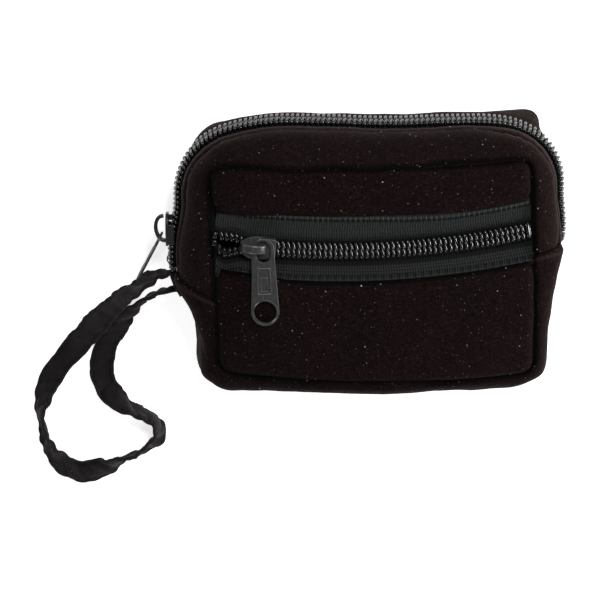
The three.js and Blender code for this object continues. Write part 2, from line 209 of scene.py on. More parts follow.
class Fabric:
    """A sheet with thickness and rounded long edges.

    rows holds one line across the sheet for each step along it. start and end are the distances
    of each point from the two long edges, along is how far along the sheet it is, and tips is
    its distance from the nearer short end, all in mm.
    """

    EDGE = np.array([0, 0.04, 0.15, 0.35, 0.65, 1.0])    # points on the rounded edge, in radii

    def __init__(self, rows, thick, count, closed=False, towards=None):
        self.thick = thick
        self.closed = closed
        near = self.EDGE * thick / 2
        fitted = []
        for row in rows:
            reach = path_length(row)
            middle = np.linspace(near[-1], reach[-1] - near[-1], count)[1:-1]
            at = np.concatenate([near, middle, reach[-1] - near[::-1]])
            fitted.append(along_path(at, reach, row))
        self.points = np.array(fitted)
        self.flip = 1
        self.refresh()
        aim = self.points if towards is None else np.asarray(towards, float)
        if np.sum(self.normals * aim) < 0:
            self.flip = -1
            self.refresh()

    def refresh(self):
        """Works out the normals and the distances again after the points have moved."""
        p = self.points
        if self.closed:
            along = np.roll(p, -1, axis=0) - np.roll(p, 1, axis=0)
        else:
            along = np.gradient(p, axis=0)
        self.normals = self.flip * unit(np.cross(along, np.gradient(p, axis=1)))
        across = np.linalg.norm(np.diff(p, axis=1), axis=2)
        across = np.concatenate([np.zeros((len(p), 1)), np.cumsum(across, axis=1)], axis=1)
        self.start = across
        self.end = across[:, -1:] - across
        self.along = path_length(p[:, p.shape[1] // 2])[:, None] + 0 * across
        self.tips = np.minimum(self.along, self.along[-1:] - self.along)

    def push(self, height):
        """Moves the sheet along its normals."""
        self.points = self.points + self.normals * (height + 0 * self.start)[..., None]
        self.refresh()
        return self

    def outer(self):
        """From the middle of the sheet to its outer face, at each point."""
        edge = np.minimum(self.start, self.end)
        lift = np.clip(1 - edge / (self.thick / 2), 0, 1)
        half = self.thick / 2 * np.sqrt(1 - lift ** 2)
        return half[..., None] * self.normals

    def build(self, name, material, tone=None):
        half = self.outer()
        top = self.points + half
        bottom = self.points - half
        rings = np.concatenate([top, bottom[:, ::-1]], axis=1)
        rows, columns, _ = rings.shape
        lay = np.stack([self.along, self.start], axis=2)
        lay = np.concatenate([lay, lay[:, ::-1]], axis=1).reshape(-1, 2)
        if tone is not None:
            tone = tone + 0 * self.start
            tone = np.concatenate([tone, tone[:, ::-1]], axis=1)
        faces = ring_faces(rows, columns, closed=self.closed)
        return make_piece(name, rings.reshape(-1, 3), faces, material, lay, tone)

    def line(self, from_start=None, from_end=None, out=0.0):
        """Points on the outer face at a distance from one edge, with the face's normals there."""
        half = self.outer()
        where = self.start if from_start is not None else self.end
        target = from_start if from_start is not None else from_end
        points, normals = [], []
        for i in range(len(self.points)):
            j = int(np.argmin(np.abs(where[i] - target)))
            points.append(self.points[i, j] + half[i, j] + self.normals[i, j] * out)
            normals.append(self.normals[i, j])
        return np.array(points), np.array(normals)


def stitches(name, lines, pitch, length, radius, material):
    """Rows of short threads, each dipping into the cloth at its ends."""
    threads = []
    for points, normals in lines:
        run = path_length(points)
        for start in np.arange(pitch * 0.5, run[-1] - length, pitch):
            at = start + np.linspace(0, 1, 7) * length
            path = along_path(at, run, points)
            lift = along_path(at, run, normals)
            arch = np.sin(np.linspace(0, math.pi, 7))
            path = path + unit(lift) * (arch * radius * 1.3 - radius * 0.6)[:, None]
            threads.append(tube(path, radius * (0.55 + 0.45 * arch), 6, up=lift[3]))
    return tubes_piece(name, threads, material)


def plate(name, outline, holes, thick, material, bevel=0.12):
    """A flat plate in the xy plane with bevelled edges, in mm, centred on z = 0."""
    curve = bpy.data.curves.new(name, "CURVE")
    curve.dimensions = "2D"
    curve.fill_mode = "BOTH"
    curve.extrude = (thick / 2 - bevel) * MM
    curve.bevel_depth = bevel * MM
    curve.bevel_resolution = 3
    curve.offset = -bevel * MM
    for points in [outline, *holes]:
        spline = curve.splines.new("POLY")
        spline.points.add(len(points) - 1)
        for point, (x, y) in zip(spline.points, points):
            point.co = (x * MM, y * MM, 0, 1)
        spline.use_cyclic_u = True
    shape = add_object(name, curve)
    shaped = shape.evaluated_get(bpy.context.evaluated_depsgraph_get())
    mesh = bpy.data.meshes.new_from_object(shaped)
    bpy.data.objects.remove(shape)
    clean_up(mesh, 2e-6)
    mesh.materials.clear()
    mesh.materials.append(material)
    mesh.set_sharp_from_angle(angle=SHARP_ANGLE)
    return add_object(name, mesh)


def merge(name, parts):
    """One object out of several, each with its own place."""
    work = bmesh.new()
    for part in parts:
        part.data.transform(part.matrix_world)
        work.from_mesh(part.data)
    mesh = bpy.data.meshes.new(name)
    work.to_mesh(mesh)
    work.free()
    mesh.materials.append(parts[0].data.materials[0])
    mesh.set_sharp_from_angle(angle=SHARP_ANGLE)
    for part in parts:
        bpy.data.objects.remove(part)
    return add_object(name, mesh)


def arc(cx, cy, radius, start, end, count):
    """Points on an arc; angles in degrees."""
    turn = np.radians(np.linspace(start, end, count))
    return np.stack([cx + radius * np.cos(turn), cy + radius * np.sin(turn)], axis=1)


def bezier(points, count):
    """Points on the Bezier curve with these control points; two give a straight line."""
    points = [np.array(p, float) for p in points]
    rows = []
    for t in np.linspace(0, 1, count):
        level = points
        while len(level) > 1:
            level = [a + (b - a) * t for a, b in zip(level, level[1:])]
        rows.append(level[0])
    return np.array(rows)


# ---- Materials ----
class Finish:
    """A node material with one Principled shader. Scales are per metre; lay is in mm."""

    def __init__(self, name, roughness, **constant):
        self.material = bpy.data.materials.new(name)
        self.material.use_nodes = True
        self.tree = self.material.node_tree
        self.shader = self.tree.nodes["Principled BSDF"]
        self.shader.inputs["Roughness"].default_value = roughness
        for key, value in constant.items():
            self.shader.inputs[key.replace("_", " ")].default_value = value
        self.place = self.tree.nodes.new("ShaderNodeTexCoord").outputs["Object"]
        self.relief = None

    def node(self, kind, inputs, **settings):
        made = self.tree.nodes.new("ShaderNode" + kind)
        for key, value in settings.items():
            setattr(made, key, value)
        for key, value in inputs.items():
            if isinstance(value, bpy.types.NodeSocket):
                self.tree.links.new(value, made.inputs[key])
            else:
                made.inputs[key].default_value = value
        return made

    def lay(self):
        """Position along and across the cloth."""
        return self.node("UVMap", {}, uv_map="Lay").outputs["UV"]

    def tone(self):
        """The piece's tone per point, from 0 dark through 1 plain to 2 pale: mostly painted shade and
        painted highlights, with some real marks.
        """
        return self.node("Attribute", {}, attribute_name="Tone").outputs["Fac"]

    def stretched(self, vector, scale):
        return self.node("Mapping", {"Vector": vector, "Scale": scale}).outputs["Vector"]

    def noise(self, scale, detail=2.0, vector=None, rough=0.5):
        place = self.place if vector is None else vector
        inputs = {"Vector": place, "Scale": scale, "Detail": detail, "Roughness": rough}
        return self.node("TexNoise", inputs).outputs["Fac"]

    def spots(self, scale, radius, share):
        """Specks of the given radius in a share of the cells, each with its own strength."""
        cells = self.node("TexVoronoi", {"Vector": self.place, "Scale": scale, "Randomness": 1.0})
        split = self.node("SeparateColor", {"Color": cells.outputs["Color"]})
        near = self.ramp(cells.outputs["Distance"], radius * 0.5, radius, 1.0, 0.0)
        chosen = self.ramp(split.outputs["Red"], 1 - share, 1 - share + 0.01, 0.0, 1.0)
        strong = self.ramp(split.outputs["Green"], 0.0, 1.0, 0.15, 1.0)
        return self.times(self.times(near, chosen), strong)

    def ramp(self, value, low, high, to_low=0.0, to_high=1.0):
        """Turns the range from low to high into the range from to_low to to_high."""
        inputs = {"Value": value, "From Min": low, "From Max": high,
                  "To Min": to_low, "To Max": to_high}
        return self.node("MapRange", inputs).outputs["Result"]

    def times(self, a, b):
        return self.node("Math", {0: a, 1: b}, operation="MULTIPLY").outputs["Value"]

    def plus(self, a, b):
        return self.node("Math", {0: a, 1: b}, operation="ADD").outputs["Value"]

    def mix(self, share, a, b):
        """Colour a with a share of colour b."""
        made = self.node("Mix", {0: share}, data_type="RGBA")
        for key, value in ((6, a), (7, b)):
            if isinstance(value, bpy.types.NodeSocket):
                self.tree.links.new(value, made.inputs[key])
            else:
                made.inputs[key].default_value = (*value, 1)
        return made.outputs[2]

    def wave(self, vector, period, axis="X"):
        """Stripes from 0 to 1 across an axis, with the given period."""
        inputs = {"Vector": vector, "Scale": math.pi / 10 / period, "Distortion": 0.0}
        settings = {"wave_type": "BANDS", "bands_direction": axis, "wave_profile": "SIN"}
        return self.node("TexWave", inputs, **settings).outputs["Fac"]

    def set(self, socket, value):
        self.tree.links.new(value, self.shader.inputs[socket])

    def bump(self, height, strength, depth):
        """Adds relief; depth is in mm. Each call builds on the last."""
        inputs = {"Height": height, "Strength": strength, "Distance": depth * MM}
        if self.relief is not None:
            inputs["Normal"] = self.relief
        self.relief = self.node("Bump", inputs).outputs["Normal"]
        self.set("Normal", self.relief)


def suede_finish():
    """Black-brown nap with brushed streaks and three sizes of lint specks, with painted shade in the
    seams, channels and tucked ends and painted highlights on lip rims and puffs.
    """
    f = Finish("suede", 0.95, Specular_IOR_Level=0.06, Sheen_Weight=0.04, Sheen_Roughness=0.4,
               Sheen_Tint=(0.8, 0.62, 0.56, 1))
    patches = f.noise(70, 4.0)
    brushed = f.noise(1.0, 3.0, f.stretched(f.place, (900, 260, 500)))
    nap = f.noise(3200, 3.0, rough=0.7)
    grain = f.noise(1400, 2.0)
    base = f.mix(f.ramp(patches, 0.3, 0.7), (0.0022, 0.0005, 0.0008), (0.0044, 0.0014, 0.0017))
    base = f.mix(f.ramp(brushed, 0.35, 0.7, 0.0, 0.5), base, (0.0075, 0.0032, 0.0032))
    base = f.mix(f.ramp(nap, 0.45, 0.70, 0.0, 0.8), base, (0.0145, 0.0075, 0.0072))
    base = f.mix(f.ramp(grain, 0.56, 0.66, 0.0, 0.6), base, (0.0150, 0.0085, 0.0080))
    base = f.mix(f.ramp(grain, 0.34, 0.46, 0.8, 0.0), base, (0.0012, 0.0005, 0.0006))
    # Tone above 1 paints highlights on lip rims and puffs; the lip rims are partly wear as well.
    base = f.mix(f.ramp(f.tone(), 1.0, 2.0, 0.0, 1.0), base, (0.060, 0.045, 0.041))
    # Tone below 1 paints shade in the seam grooves, stitch channels and tucked ends.
    base = f.mix(f.ramp(f.tone(), 0.0, 1.0, 0.97, 0.0), base, (0.0004, 0.0003, 0.0003))
    base = f.mix(f.spots(820, 0.2, 0.32), base, (0.085, 0.072, 0.068))
    base = f.mix(f.spots(360, 0.095, 0.55), base, (0.30, 0.28, 0.27))
    base = f.mix(f.spots(170, 0.045, 0.55), base, (0.80, 0.78, 0.76))
    f.set("Base Color", base)
    f.bump(f.plus(f.times(nap, 0.6), f.times(brushed, 0.6)), 0.55, 0.22)
    f.bump(f.noise(420, 3.0), 0.35, 0.35)
    return f.material


def tape_finish():
    """Grey woven tape: ribs along it with painted shade in their valleys, a fine knit across, uneven
    fibres.
    """
    f = Finish("zip_tape", 0.85, Specular_IOR_Level=0.15, Sheen_Weight=0.03, Sheen_Roughness=0.4)
    lay = f.lay()
    ribs = f.wave(lay, RIB_PITCH)
    knit = f.wave(lay, 0.55, "Y")
    fibres = f.noise(1.0, 3.0, f.stretched(lay, (7, 3, 1)))
    base = f.mix(f.ramp(fibres, 0.3, 0.75), (0.0125, 0.0132, 0.0138), (0.034, 0.0355, 0.0362))
    # Painted shade in the valleys between the ribs.
    base = f.mix(f.ramp(ribs, 0.15, 0.9, 0.97, 0.0), base, (0.0010, 0.0012, 0.0014))
    base = f.mix(f.ramp(knit, 0.0, 1.0, 0.35, 0.0), base, (0.006, 0.007, 0.0075))
    # Tone below 1 paints the shadow beside the coil and under the suede's fold, and the shade in the
    # edge's holes.
    base = f.mix(f.ramp(f.tone(), 0.0, 1.0, 0.95, 0.0), base, (0.0012, 0.0013, 0.0014))
    base = f.mix(f.ramp(f.tone(), 1.0, 2.0, 0.0, 0.9), base, (0.070, 0.075, 0.075))
    f.set("Base Color", base)
    f.bump(f.plus(f.times(knit, 0.5), fibres), 0.6, 0.12)
    return f.material


def nylon_finish():
    """Glossy black nylon, uneven in its gloss."""
    f = Finish("zip_coil", 0.2, Specular_IOR_Level=0.6, Coat_Weight=0.15, Coat_Roughness=0.12)
    f.set("Base Color", f.mix(f.noise(900), (0.0035, 0.0035, 0.0038), (0.009, 0.0088, 0.0088)))
    f.set("Roughness", f.ramp(f.noise(500), 0.3, 0.7, 0.14, 0.3))
    f.bump(f.noise(2500, 2.0), 0.15, 0.05)
    return f.material


def metal_finish(name, dark, light, metallic, edges):
    """Painted metal between two colours; edges is how far the scuffs and rims are lightened. The pale
    rims are partly wear and partly a painted highlight.
    """
    f = Finish(name, 0.4, Metallic=metallic, Specular_IOR_Level=0.45)
    worn_and_lit_rims = f.ramp(f.node("NewGeometry", {}).outputs["Pointiness"], 0.52, 0.62)
    scuffs = f.ramp(f.noise(1.0, 5.0, f.stretched(f.place, (2600, 500, 2600))), 0.52, 0.7)
    base = f.mix(f.noise(600, 3.0), dark, light)
    base = f.mix(f.times(scuffs, 0.4 * edges), base, (0.10, 0.10, 0.10))
    # Pale rims from pointiness: edge wear and a painted rim highlight.
    base = f.mix(f.times(worn_and_lit_rims, 0.8 * edges), base, (0.30, 0.295, 0.29))
    f.set("Base Color", base)
    f.set("Roughness", f.ramp(f.noise(1500, 3.0), 0.3, 0.7, 0.3, 0.48))
    f.bump(f.noise(2200, 4.0), 0.12, 0.06)
    return f.material


def cotton_finish():
    """Faded black cotton with a plain weave and a little lint."""
    f = Finish("strap_cotton", 0.9, Specular_IOR_Level=0.12, Sheen_Weight=0.06, Sheen_Roughness=0.5,
               Sheen_Tint=(0.9, 0.84, 0.84, 1))
    lay = f.lay()
    weave = f.times(f.wave(lay, 0.36), f.wave(lay, 0.36, "Y"))
    fade = f.noise(240, 4.0)
    base = f.mix(f.ramp(fade, 0.3, 0.72), (0.0048, 0.0036, 0.0038), (0.0145, 0.0112, 0.0118))
    base = f.mix(f.times(weave, 0.5), base, (0.030, 0.025, 0.026))
    # Tone below 1 paints shade where the stitches pinch the cloth and at the anchor's ends.
    base = f.mix(f.ramp(f.tone(), 0.0, 1.0, 0.9, 0.0), base, (0.0015, 0.0014, 0.0014))
    base = f.mix(f.spots(300, 0.05, 0.25), base, (0.16, 0.15, 0.15))
    f.set("Base Color", base)
    f.bump(weave, 0.4, 0.1)
    f.bump(f.noise(700, 3.0), 0.5, 0.3)
    return f.material


def lining_finish():
    """Thin dark woven cloth."""
    f = Finish("lining", 0.7, Specular_IOR_Level=0.3, Sheen_Weight=0.2)
    lay = f.lay()
    weave = f.times(f.wave(lay, 0.5), f.wave(lay, 0.5, "Y"))
    base = f.mix(f.noise(150, 3.0), (0.010, 0.0095, 0.0095), (0.018, 0.017, 0.017))
    f.set("Base Color", f.mix(f.times(weave, 0.5), base, (0.035, 0.033, 0.033)))
    f.bump(weave, 0.4, 0.12)
    return f.material


def thread_finish(name, dark, light):
    """Twisted thread between two colours."""
    f = Finish(name, 0.8, Specular_IOR_Level=0.12)
    twist = f.wave(f.stretched(f.place, (1000, 1000, 1000)), 0.3, "DIAGONAL")
    f.set("Base Color", f.mix(twist, dark, light))
    f.bump(twist, 0.5, 0.05)
    return f.material


SUEDE_BROWN = suede_finish()
TAPE_GREY = tape_finish()
NYLON = nylon_finish()
METAL = metal_finish("slider_metal", (0.027, 0.027, 0.0285), (0.045, 0.045, 0.047), 0.3, 1.0)
SHADED_METAL = metal_finish("main_slider_metal", (0.009, 0.009, 0.0095), (0.016, 0.016, 0.017),
                            0.05, 0.15)
COTTON = cotton_finish()
LINING = lining_finish()
DARK_THREAD = thread_finish("thread", (0.0022, 0.0014, 0.0014), (0.006, 0.004, 0.004))
LIP_THREAD = thread_finish("lip_thread", (0.010, 0.007, 0.007), (0.035, 0.027, 0.026))
PALE_THREAD = thread_finish("thread_end", (0.12, 0.11, 0.11), (0.30, 0.28, 0.28))


# ---- Outlines seen from the front ----
def evenly(points, step):
    """A closed line through the points, resampled at about the given step."""
    points = np.concatenate([points, points[:1]])
    run = path_length(points)
    at = np.linspace(0, run[-1], round(run[-1] / step), endpoint=False)
    return along_path(at, run, points)


def outward(outline):
    """Directions out of a closed outline that runs clockwise."""
    along = unit(np.roll(outline, -1, axis=0) - np.roll(outline, 1, axis=0))
    return np.stack([-along[:, 1], along[:, 0]], axis=1)


def pouch_outline():
    """The CAD model's outline, clockwise from the middle of the left side."""
    w = HALF_WIDTH
    left_x, right_x = -w + TOP_LEFT_R, w - TOP_RIGHT_R
    left_y, right_y = TOP_Y - TOP_LEFT_R, TOP_Y - TOP_RIGHT_R
    return np.concatenate([
        bezier([(-w, 0), (-w, left_y)], 24),
        arc(left_x, left_y, TOP_LEFT_R, 180, 90, 50),
        bezier([(left_x, TOP_Y), (right_x, TOP_Y)], 80),
        arc(right_x, right_y, TOP_RIGHT_R, 90, 0, 44),
        bezier([(w, right_y), (w, 14)], 12),
        bezier([(w, 14), (w, 0), (63.8, -14), (62.8, -34)], 50),
        bezier([(62.8, -34), (62.8, -47.7), (46, -48.2)], 26),
        bezier([(46, -48.2), (2, -50.2), (-46, -48.2)], 90),
        bezier([(-46, -48.2), (-58.5, -47.7), (-58.5, -37)], 22),
        bezier([(-58.5, -37), (-58.5, -14), (-w, -14), (-w, 0)], 40),
    ])


def settled_outline(points):
    """The filled pouch draws in a little at its top corners and along its lower edge."""
    x, y = points[:, 0], points[:, 1]
    inward = 2.2 * smooth((32 - np.hypot(x + 59, y - 34)) / 16)
    inward += 1.2 * smooth((26 - np.hypot(x - 60, y - 34)) / 14)
    inward += 1.8 * smooth((-40 - y) / 6)
    return points - outward(points) * inward[:, None]


def rounded(corners):
    """A closed outline through corners of (x, y, radius)."""
    points = np.array([c[:2] for c in corners], float)
    rows = []
    for i, (x, y, radius) in enumerate(corners):
        here = points[i]
        before = here + unit(points[i - 1] - here) * radius
        after = here + unit(points[(i + 1) % len(points)] - here) * radius
        rows.append(bezier([before, here, after], 14))
    return np.concatenate(rows)


def seam_y(x):
    """Height of the line between the zipped arch and the gusset."""
    return -0.3 + 0.084 * x


def front_map(x, y):
    """Bends the front's plain rectangle to the shape of its seam."""
    u = (x - FRONT_LOW[0]) / (FRONT_HIGH[0] - FRONT_LOW[0])
    v = (y - FRONT_LOW[1]) / (FRONT_HIGH[1] - FRONT_LOW[1])
    left = -50.0 - 2.4 * v
    right = 56.6 - 3.3 * v + 0.8 * np.sin(math.pi * v)
    low = -37.0 - 0.8 * u - 3.4 * np.sin(math.pi * np.clip(u, 0, 1)) ** 0.8
    high = 33.0 + 2.2 * u - 1.9 * np.sin(math.pi * np.clip(u, 0, 1))
    return left + (right - left) * u, low + (high - low) * v


def step_at_seam(outline, side):
    """The step where the outline crosses the line between arch and gusset, left (-1) or right (1)."""
    off = np.abs(outline[:, 1] - seam_y(outline[:, 0]))
    return int(np.argmin(off + (outline[:, 0] * side < 0) * 99))


# The outline starts at the left end of the zipped arch. The arch is its first ARCH_STEPS points.
OUTLINE = evenly(settled_outline(evenly(pouch_outline(), STEP)), STEP)
OUTLINE[:, 1] -= 0.8 * bump(OUTLINE[:, 0] - 6, 17) * (OUTLINE[:, 1] > 40)    # the top sags a little
OUTLINE = np.roll(OUTLINE, -step_at_seam(OUTLINE, -1), axis=0)
OUTWARD = outward(OUTLINE)
STEPS = len(OUTLINE)
ARCH_STEPS = step_at_seam(OUTLINE, 1) + 1
RUN = np.arange(STEPS) * STEP
ARCH_END = RUN[ARCH_STEPS - 1]
TO_LEFT_END = np.minimum(RUN, RUN[-1] + STEP - RUN)
TO_RIGHT_END = np.abs(RUN - ARCH_END)


def front_seam():
    """The point of the front's seam that belongs to each step of the outline."""
    radius = 4.0
    core = np.clip(OUTLINE, FRONT_LOW + radius, FRONT_HIGH - radius)
    on_rect = core + radius * unit(OUTLINE - core)
    x, y = front_map(on_rect[:, 0], on_rect[:, 1])
    y = y - 8.2 * np.exp(-(TO_LEFT_END / 9) ** 2) - 3.4 * np.exp(-(TO_RIGHT_END / 8) ** 2)
    return np.stack([x, y], axis=1)


BACK = evenly(rounded([(-59, -47.5, 6), (-59, 43.2, 9), (-38, 45.6, 6), (30, 46.7, 10),
                       (60.6, 48.9, 6.5), (61, -47.5, 6)]), STEP)


def back_seam():
    """Where the line outwards through each step of the outline leaves the back panel."""
    core = np.clip(OUTLINE, [-30, -20], [38, 22])
    aim = unit(OUTLINE - core)
    found = []
    side = np.roll(BACK, -1, axis=0) - BACK
    for start, ray in zip(core, aim):
        cross = ray[0] * side[:, 1] - ray[1] * side[:, 0]
        cross = np.where(cross == 0, 1e-9, cross)
        gap = BACK - start
        reach = (gap[:, 0] * side[:, 1] - gap[:, 1] * side[:, 0]) / cross
        share = (gap[:, 0] * ray[1] - gap[:, 1] * ray[0]) / cross
        hit = (share >= -1e-6) & (share <= 1 + 1e-6) & (reach > 0)
        found.append(start + ray * reach[hit].max())
    return np.array(found)


FRONT_SEAM = front_seam()
BACK_SEAM = back_seam()


# ---- Crowned front face ----
def chain_rise(x):
    """How far the pocket zip's arc has risen above its lowest point."""
    return (x - CHAIN_LOW[0]) ** 2 / (2 * CHAIN_R)


def chain_y(x):
    return CHAIN_LOW[1] + math.cos(BOW_TILT) * chain_rise(x)


def face_z(x, y):
    """Height of the front face."""
    return FRONT_Z - 0.3 - math.sin(BOW_TILT) * chain_rise(x) - 0.0008 * (y - CHAIN_LOW[1]) ** 2


def seam_crest(points):
    """Height of the strip beside the front's seam."""
    beside = face_z(points[..., 0], points[..., 1])
    return np.minimum(beside - 0.55, 35.6)


# ---- Suede shell: arch strip, gusset and rear strip ----
def crown_rows(steps, low, turn_end, short=0.0):
    """Lines from the front seam's groove over the crest to the side, where low is the height
    that they come down to. They stop short of the outline by the given distance."""
    groove = 1.7
    low, short = np.broadcast_to(low, STEPS), np.broadcast_to(short, STEPS)
    rows = []
    for i in steps:
        seam, edge = FRONT_SEAM[i], OUTLINE[i]
        whole = np.linalg.norm(edge - seam)
        reach = whole - short[i]
        crest = float(seam_crest(seam))
        turn = np.linspace(0, 1, 16) * math.pi / 2
        wall = np.column_stack([groove * (1 - np.cos(turn)),
                                crest - GROOVE_DEPTH * (1 - np.sin(turn))])
        turn = np.linspace(0, 1, 40)[1:] * math.pi / 2 * turn_end
        roll = np.column_stack([groove + (reach - groove) * np.sin(turn) ** 0.94,
                                low[i] + (crest - low[i]) * np.cos(turn) ** 0.78])
        line = np.concatenate([wall, roll])
        flat = seam + (edge - seam) * (line[:, 0] / whole)[:, None]
        rows.append(np.column_stack([flat, line[:, 1]]))
    return rows


def side_rows(steps, top, offset):
    """Lines from a height down the side to the seam of the back panel, and tucked in under it."""
    top = np.broadcast_to(top, STEPS)
    tuck_in, tuck_down = 1.1, 1.2
    rows = []
    for i in steps:
        edge, back, out = OUTLINE[i], BACK_SEAM[i], OUTWARD[i]
        t = np.linspace(0, 1, 26)
        lean = t ** 1.7
        flat = (edge + offset * out)[None] * (1 - lean)[:, None] + back[None] * lean[:, None]
        flat = flat + out[None] * (1.1 * np.sin(math.pi * t) ** 1.2)[:, None]
        height = top[i] + (SEAM_Z - top[i]) * t
        under = np.linspace(0, 1, 8)[1:] * math.pi / 2
        tuck = back[None] - out[None] * (tuck_in * (1 - np.cos(under)))[:, None]
        tuck = np.column_stack([tuck, SEAM_Z - tuck_down * np.sin(under)])
        rows.append(np.concatenate([np.column_stack([flat, height]), tuck]))
    return rows


def corner_gather(points):
    """How strongly the cloth puckers: most at the rounded top corners."""
    x, y = points[..., 0], points[..., 1]
    right = bump(np.hypot(x - 60, y - 40), 15)
    left = bump(np.hypot(x + 60, y - 40), 15)
    return 0.3 + right * 1.2 + left * 0.7


ARCH = range(ARCH_STEPS)
BELOW = [i % STEPS for i in range(ARCH_STEPS - 1, STEPS + 1)]


def strip_rows():
    """Lines over the front strip and in under its lip, which stands over the main zip."""
    at_left = 0.4 * smooth((-OUTLINE[:, 0] - 52) / 8)
    flat_lip = np.clip(corner_gather(OUTLINE), 0.3, 1) + at_left
    over = crown_rows(ARCH, 23.5, 0.85, short=1.5 + 1.5 * np.clip(flat_lip, 0, 1))
    rows = []
    for row, i in zip(over, ARCH):
        cover = 1.7 * smooth((16 - OUTLINE[i, 1]) / 16) * (OUTLINE[i, 0] > 0)
        lip = [[*(OUTLINE[i] - OUTWARD[i] * (inset - cover)), height]
               for inset, height in ((1.75, 24.5), (1.5, 24.0), (1.45, 23.0))]
        rows.append(np.concatenate([row, lip]))
    return rows


def front_strip_piece():
    """The puffed strip between the front seam and the main zip."""
    strip = Fabric(strip_rows(), SUEDE, 30)
    strip.push(-SUEDE / 2)
    gathered = corner_gather(strip.points)
    lip_line = strip.end - LIP_STITCH - 0.3 * waviness(strip.points, 9, 1)
    at_sides = smooth((np.abs(strip.points[..., 0]) - 50) / 8)
    marked = np.clip(1.3 * (gathered - 0.3) + 0.8 * at_sides, 0.12, 1)
    strip.push(-0.85 * bump(lip_line, 0.6) * marked
               + 0.3 * bump(strip.end - 1.6, 1.2)
               + 0.6 * bump(strip.end - 6.6, 2.2) * gathered)
    fine = wave_line(strip.along, 2.3, 3 * waviness(strip.points, 7, 2))
    coarse = wave_line(strip.along, 4.6, 4 * waviness(strip.points, 11, 3))
    strip.push(0.07 * fine * bump(strip.end - 2.6, 2.4) * gathered
               + 0.13 * coarse * bump(strip.end - 5.8, 3.2) * gathered)
    strip.push(0.32 * waviness(strip.points, 15, 4) + 0.12 * waviness(strip.points, 5, 5)
               + 0.03 * waviness(strip.points, 1.6, 6)
               - 0.7 * bump(strip.tips, 0.8))
    # Painted shade in the stitch channel, the seam groove and the tucked ends; painted highlights on
    # the lip's rim, which is partly worn as well, and on the puffs.
    tone = (1.03 - 0.8 * bump(lip_line, 0.45) * marked
            - smooth((4.0 - strip.start) / 1.1) - 0.8 * bump(strip.tips, 0.6)
            + 0.5 * bump(strip.end - 1.3, 0.7) + 0.12 * bump(strip.end - 6.6, 1.8) * gathered)
    return strip, strip.build("front_strip_suede", SUEDE_BROWN, tone)


def rear_strip_piece():
    """The strip between the main zip and the back panel."""
    rear = Fabric(side_rows(ARCH, 16.1, 0.5), SUEDE, 24)
    rear.push(-SUEDE / 2)
    puckers = wave_line(rear.along, 3.1, 3 * waviness(rear.points, 8, 7))
    rear.push(-0.4 * bump(rear.start - REAR_STITCH, 0.5) + 0.22 * bump(rear.start - 1.1, 0.9)
              + 0.1 * puckers * bump(rear.start - 2, 3.0))
    rear.push(0.3 * waviness(rear.points, 13, 8) * smooth(rear.end / 4)
              + 0.04 * waviness(rear.points, 2, 9) - 0.7 * bump(rear.tips, 0.8))
    # Painted shade along the stitch groove and where the strip tucks under the back seam.
    tone = 1 - 0.4 * bump(rear.start - REAR_STITCH, 0.4) - 0.8 * bump(rear.end, 1.0)
    return rear, rear.build("rear_strip_suede", SUEDE_BROWN, tone)


def gusset_piece():
    """The band below the zip's ends, from the front seam round to the back panel."""
    low = 25.0 - 4.5 * smooth(np.minimum(TO_LEFT_END, TO_RIGHT_END) / 20)
    over = crown_rows(BELOW, low, 1.0)
    down = side_rows(BELOW, low, 0.0)
    sheet = Fabric([np.concatenate([a, b[1:]]) for a, b in zip(over, down)], SUEDE, 62)
    sheet.push(-SUEDE / 2)
    x, y, z = np.moveaxis(sheet.points, -1, 0)
    across_fold = x + 59 + 0.42 * (y + 24)
    left_fold = bump(across_fold, 1.1) * bump(y + 24, 7) * smooth((z - 12) / 10)
    sheet.push(0.45 * waviness(sheet.points, 17, 10) + 0.22 * waviness(sheet.points, 7, 11)
               + 0.03 * waviness(sheet.points, 1.8, 12)
               - 0.9 * left_fold
               - 0.7 * bump(sheet.tips, 0.8) + 0.35 * bump(sheet.tips - 1.8, 1.0))
    # Painted shade in the seam groove and at the tucked edges, and a painted highlight on the puff
    # beside each end.
    tone = (1 - smooth((3.8 - sheet.start) / 1.4) - 0.8 * bump(sheet.end, 1.0)
            - 0.8 * bump(sheet.tips, 0.6) + 0.22 * bump(sheet.tips - 1.7, 0.5))
    return sheet.build("gusset_suede", SUEDE_BROWN, tone)


strip, front_strip = front_strip_piece()
rear, rear_strip = rear_strip_piece()
gusset = gusset_piece()


# ---- Front panels ----
def panel_steps(low, high, step, fine_low=True):
    """Positions from low to high, closer together towards the rounded edges."""
    near = np.array([0, 0.04, 0.15, 0.35, 0.65, 1.05, 1.6])
    first = low + near if fine_low else np.array([low])
    last = high - near[::-1]
    count = max(2, round((last[0] - first[-1]) / step))
    middle = np.linspace(first[-1], last[0], count + 1)[1:-1]
    return np.concatenate([first, middle, last])


def round_corners(x, y, radius):
    """Rounds the corners of the front's rectangle, keeping its straight sides."""
    inner_low, inner_high = FRONT_LOW + radius, FRONT_HIGH - radius
    dx = x - np.clip(x, inner_low[0], inner_high[0])
    dy = y - np.clip(y, inner_low[1], inner_high[1])
    reach = np.hypot(dx, dy)
    both = (np.abs(dx) > 0) & (np.abs(dy) > 0)
    scale = np.where(both, np.maximum(np.abs(dx), np.abs(dy)) / np.maximum(reach, 1e-9), 1)
    return x - dx + dx * scale, y - dy + dy * scale


def edge_drop(distance):
    """How far a panel dips into the seam's groove at a distance from the seam."""
    near = 1 - np.clip(distance / 1.6, 0, 1)
    return GROOVE_DEPTH * (1 - np.sqrt(1 - near ** 2)) + 0.45 * np.exp(-distance / 3.5)


def fold_lift(x):
    """How much higher the lower panel's edge sits left of the slider."""
    return 1.3 * smooth((-27 - x) / 8)


def fold_dip(x):
    """How much lower the upper panel's edge sits towards both ends of the zip."""
    return 1.6 * smooth((x - 2) / 40) + 1.3 * smooth((-24 - x) / 20)


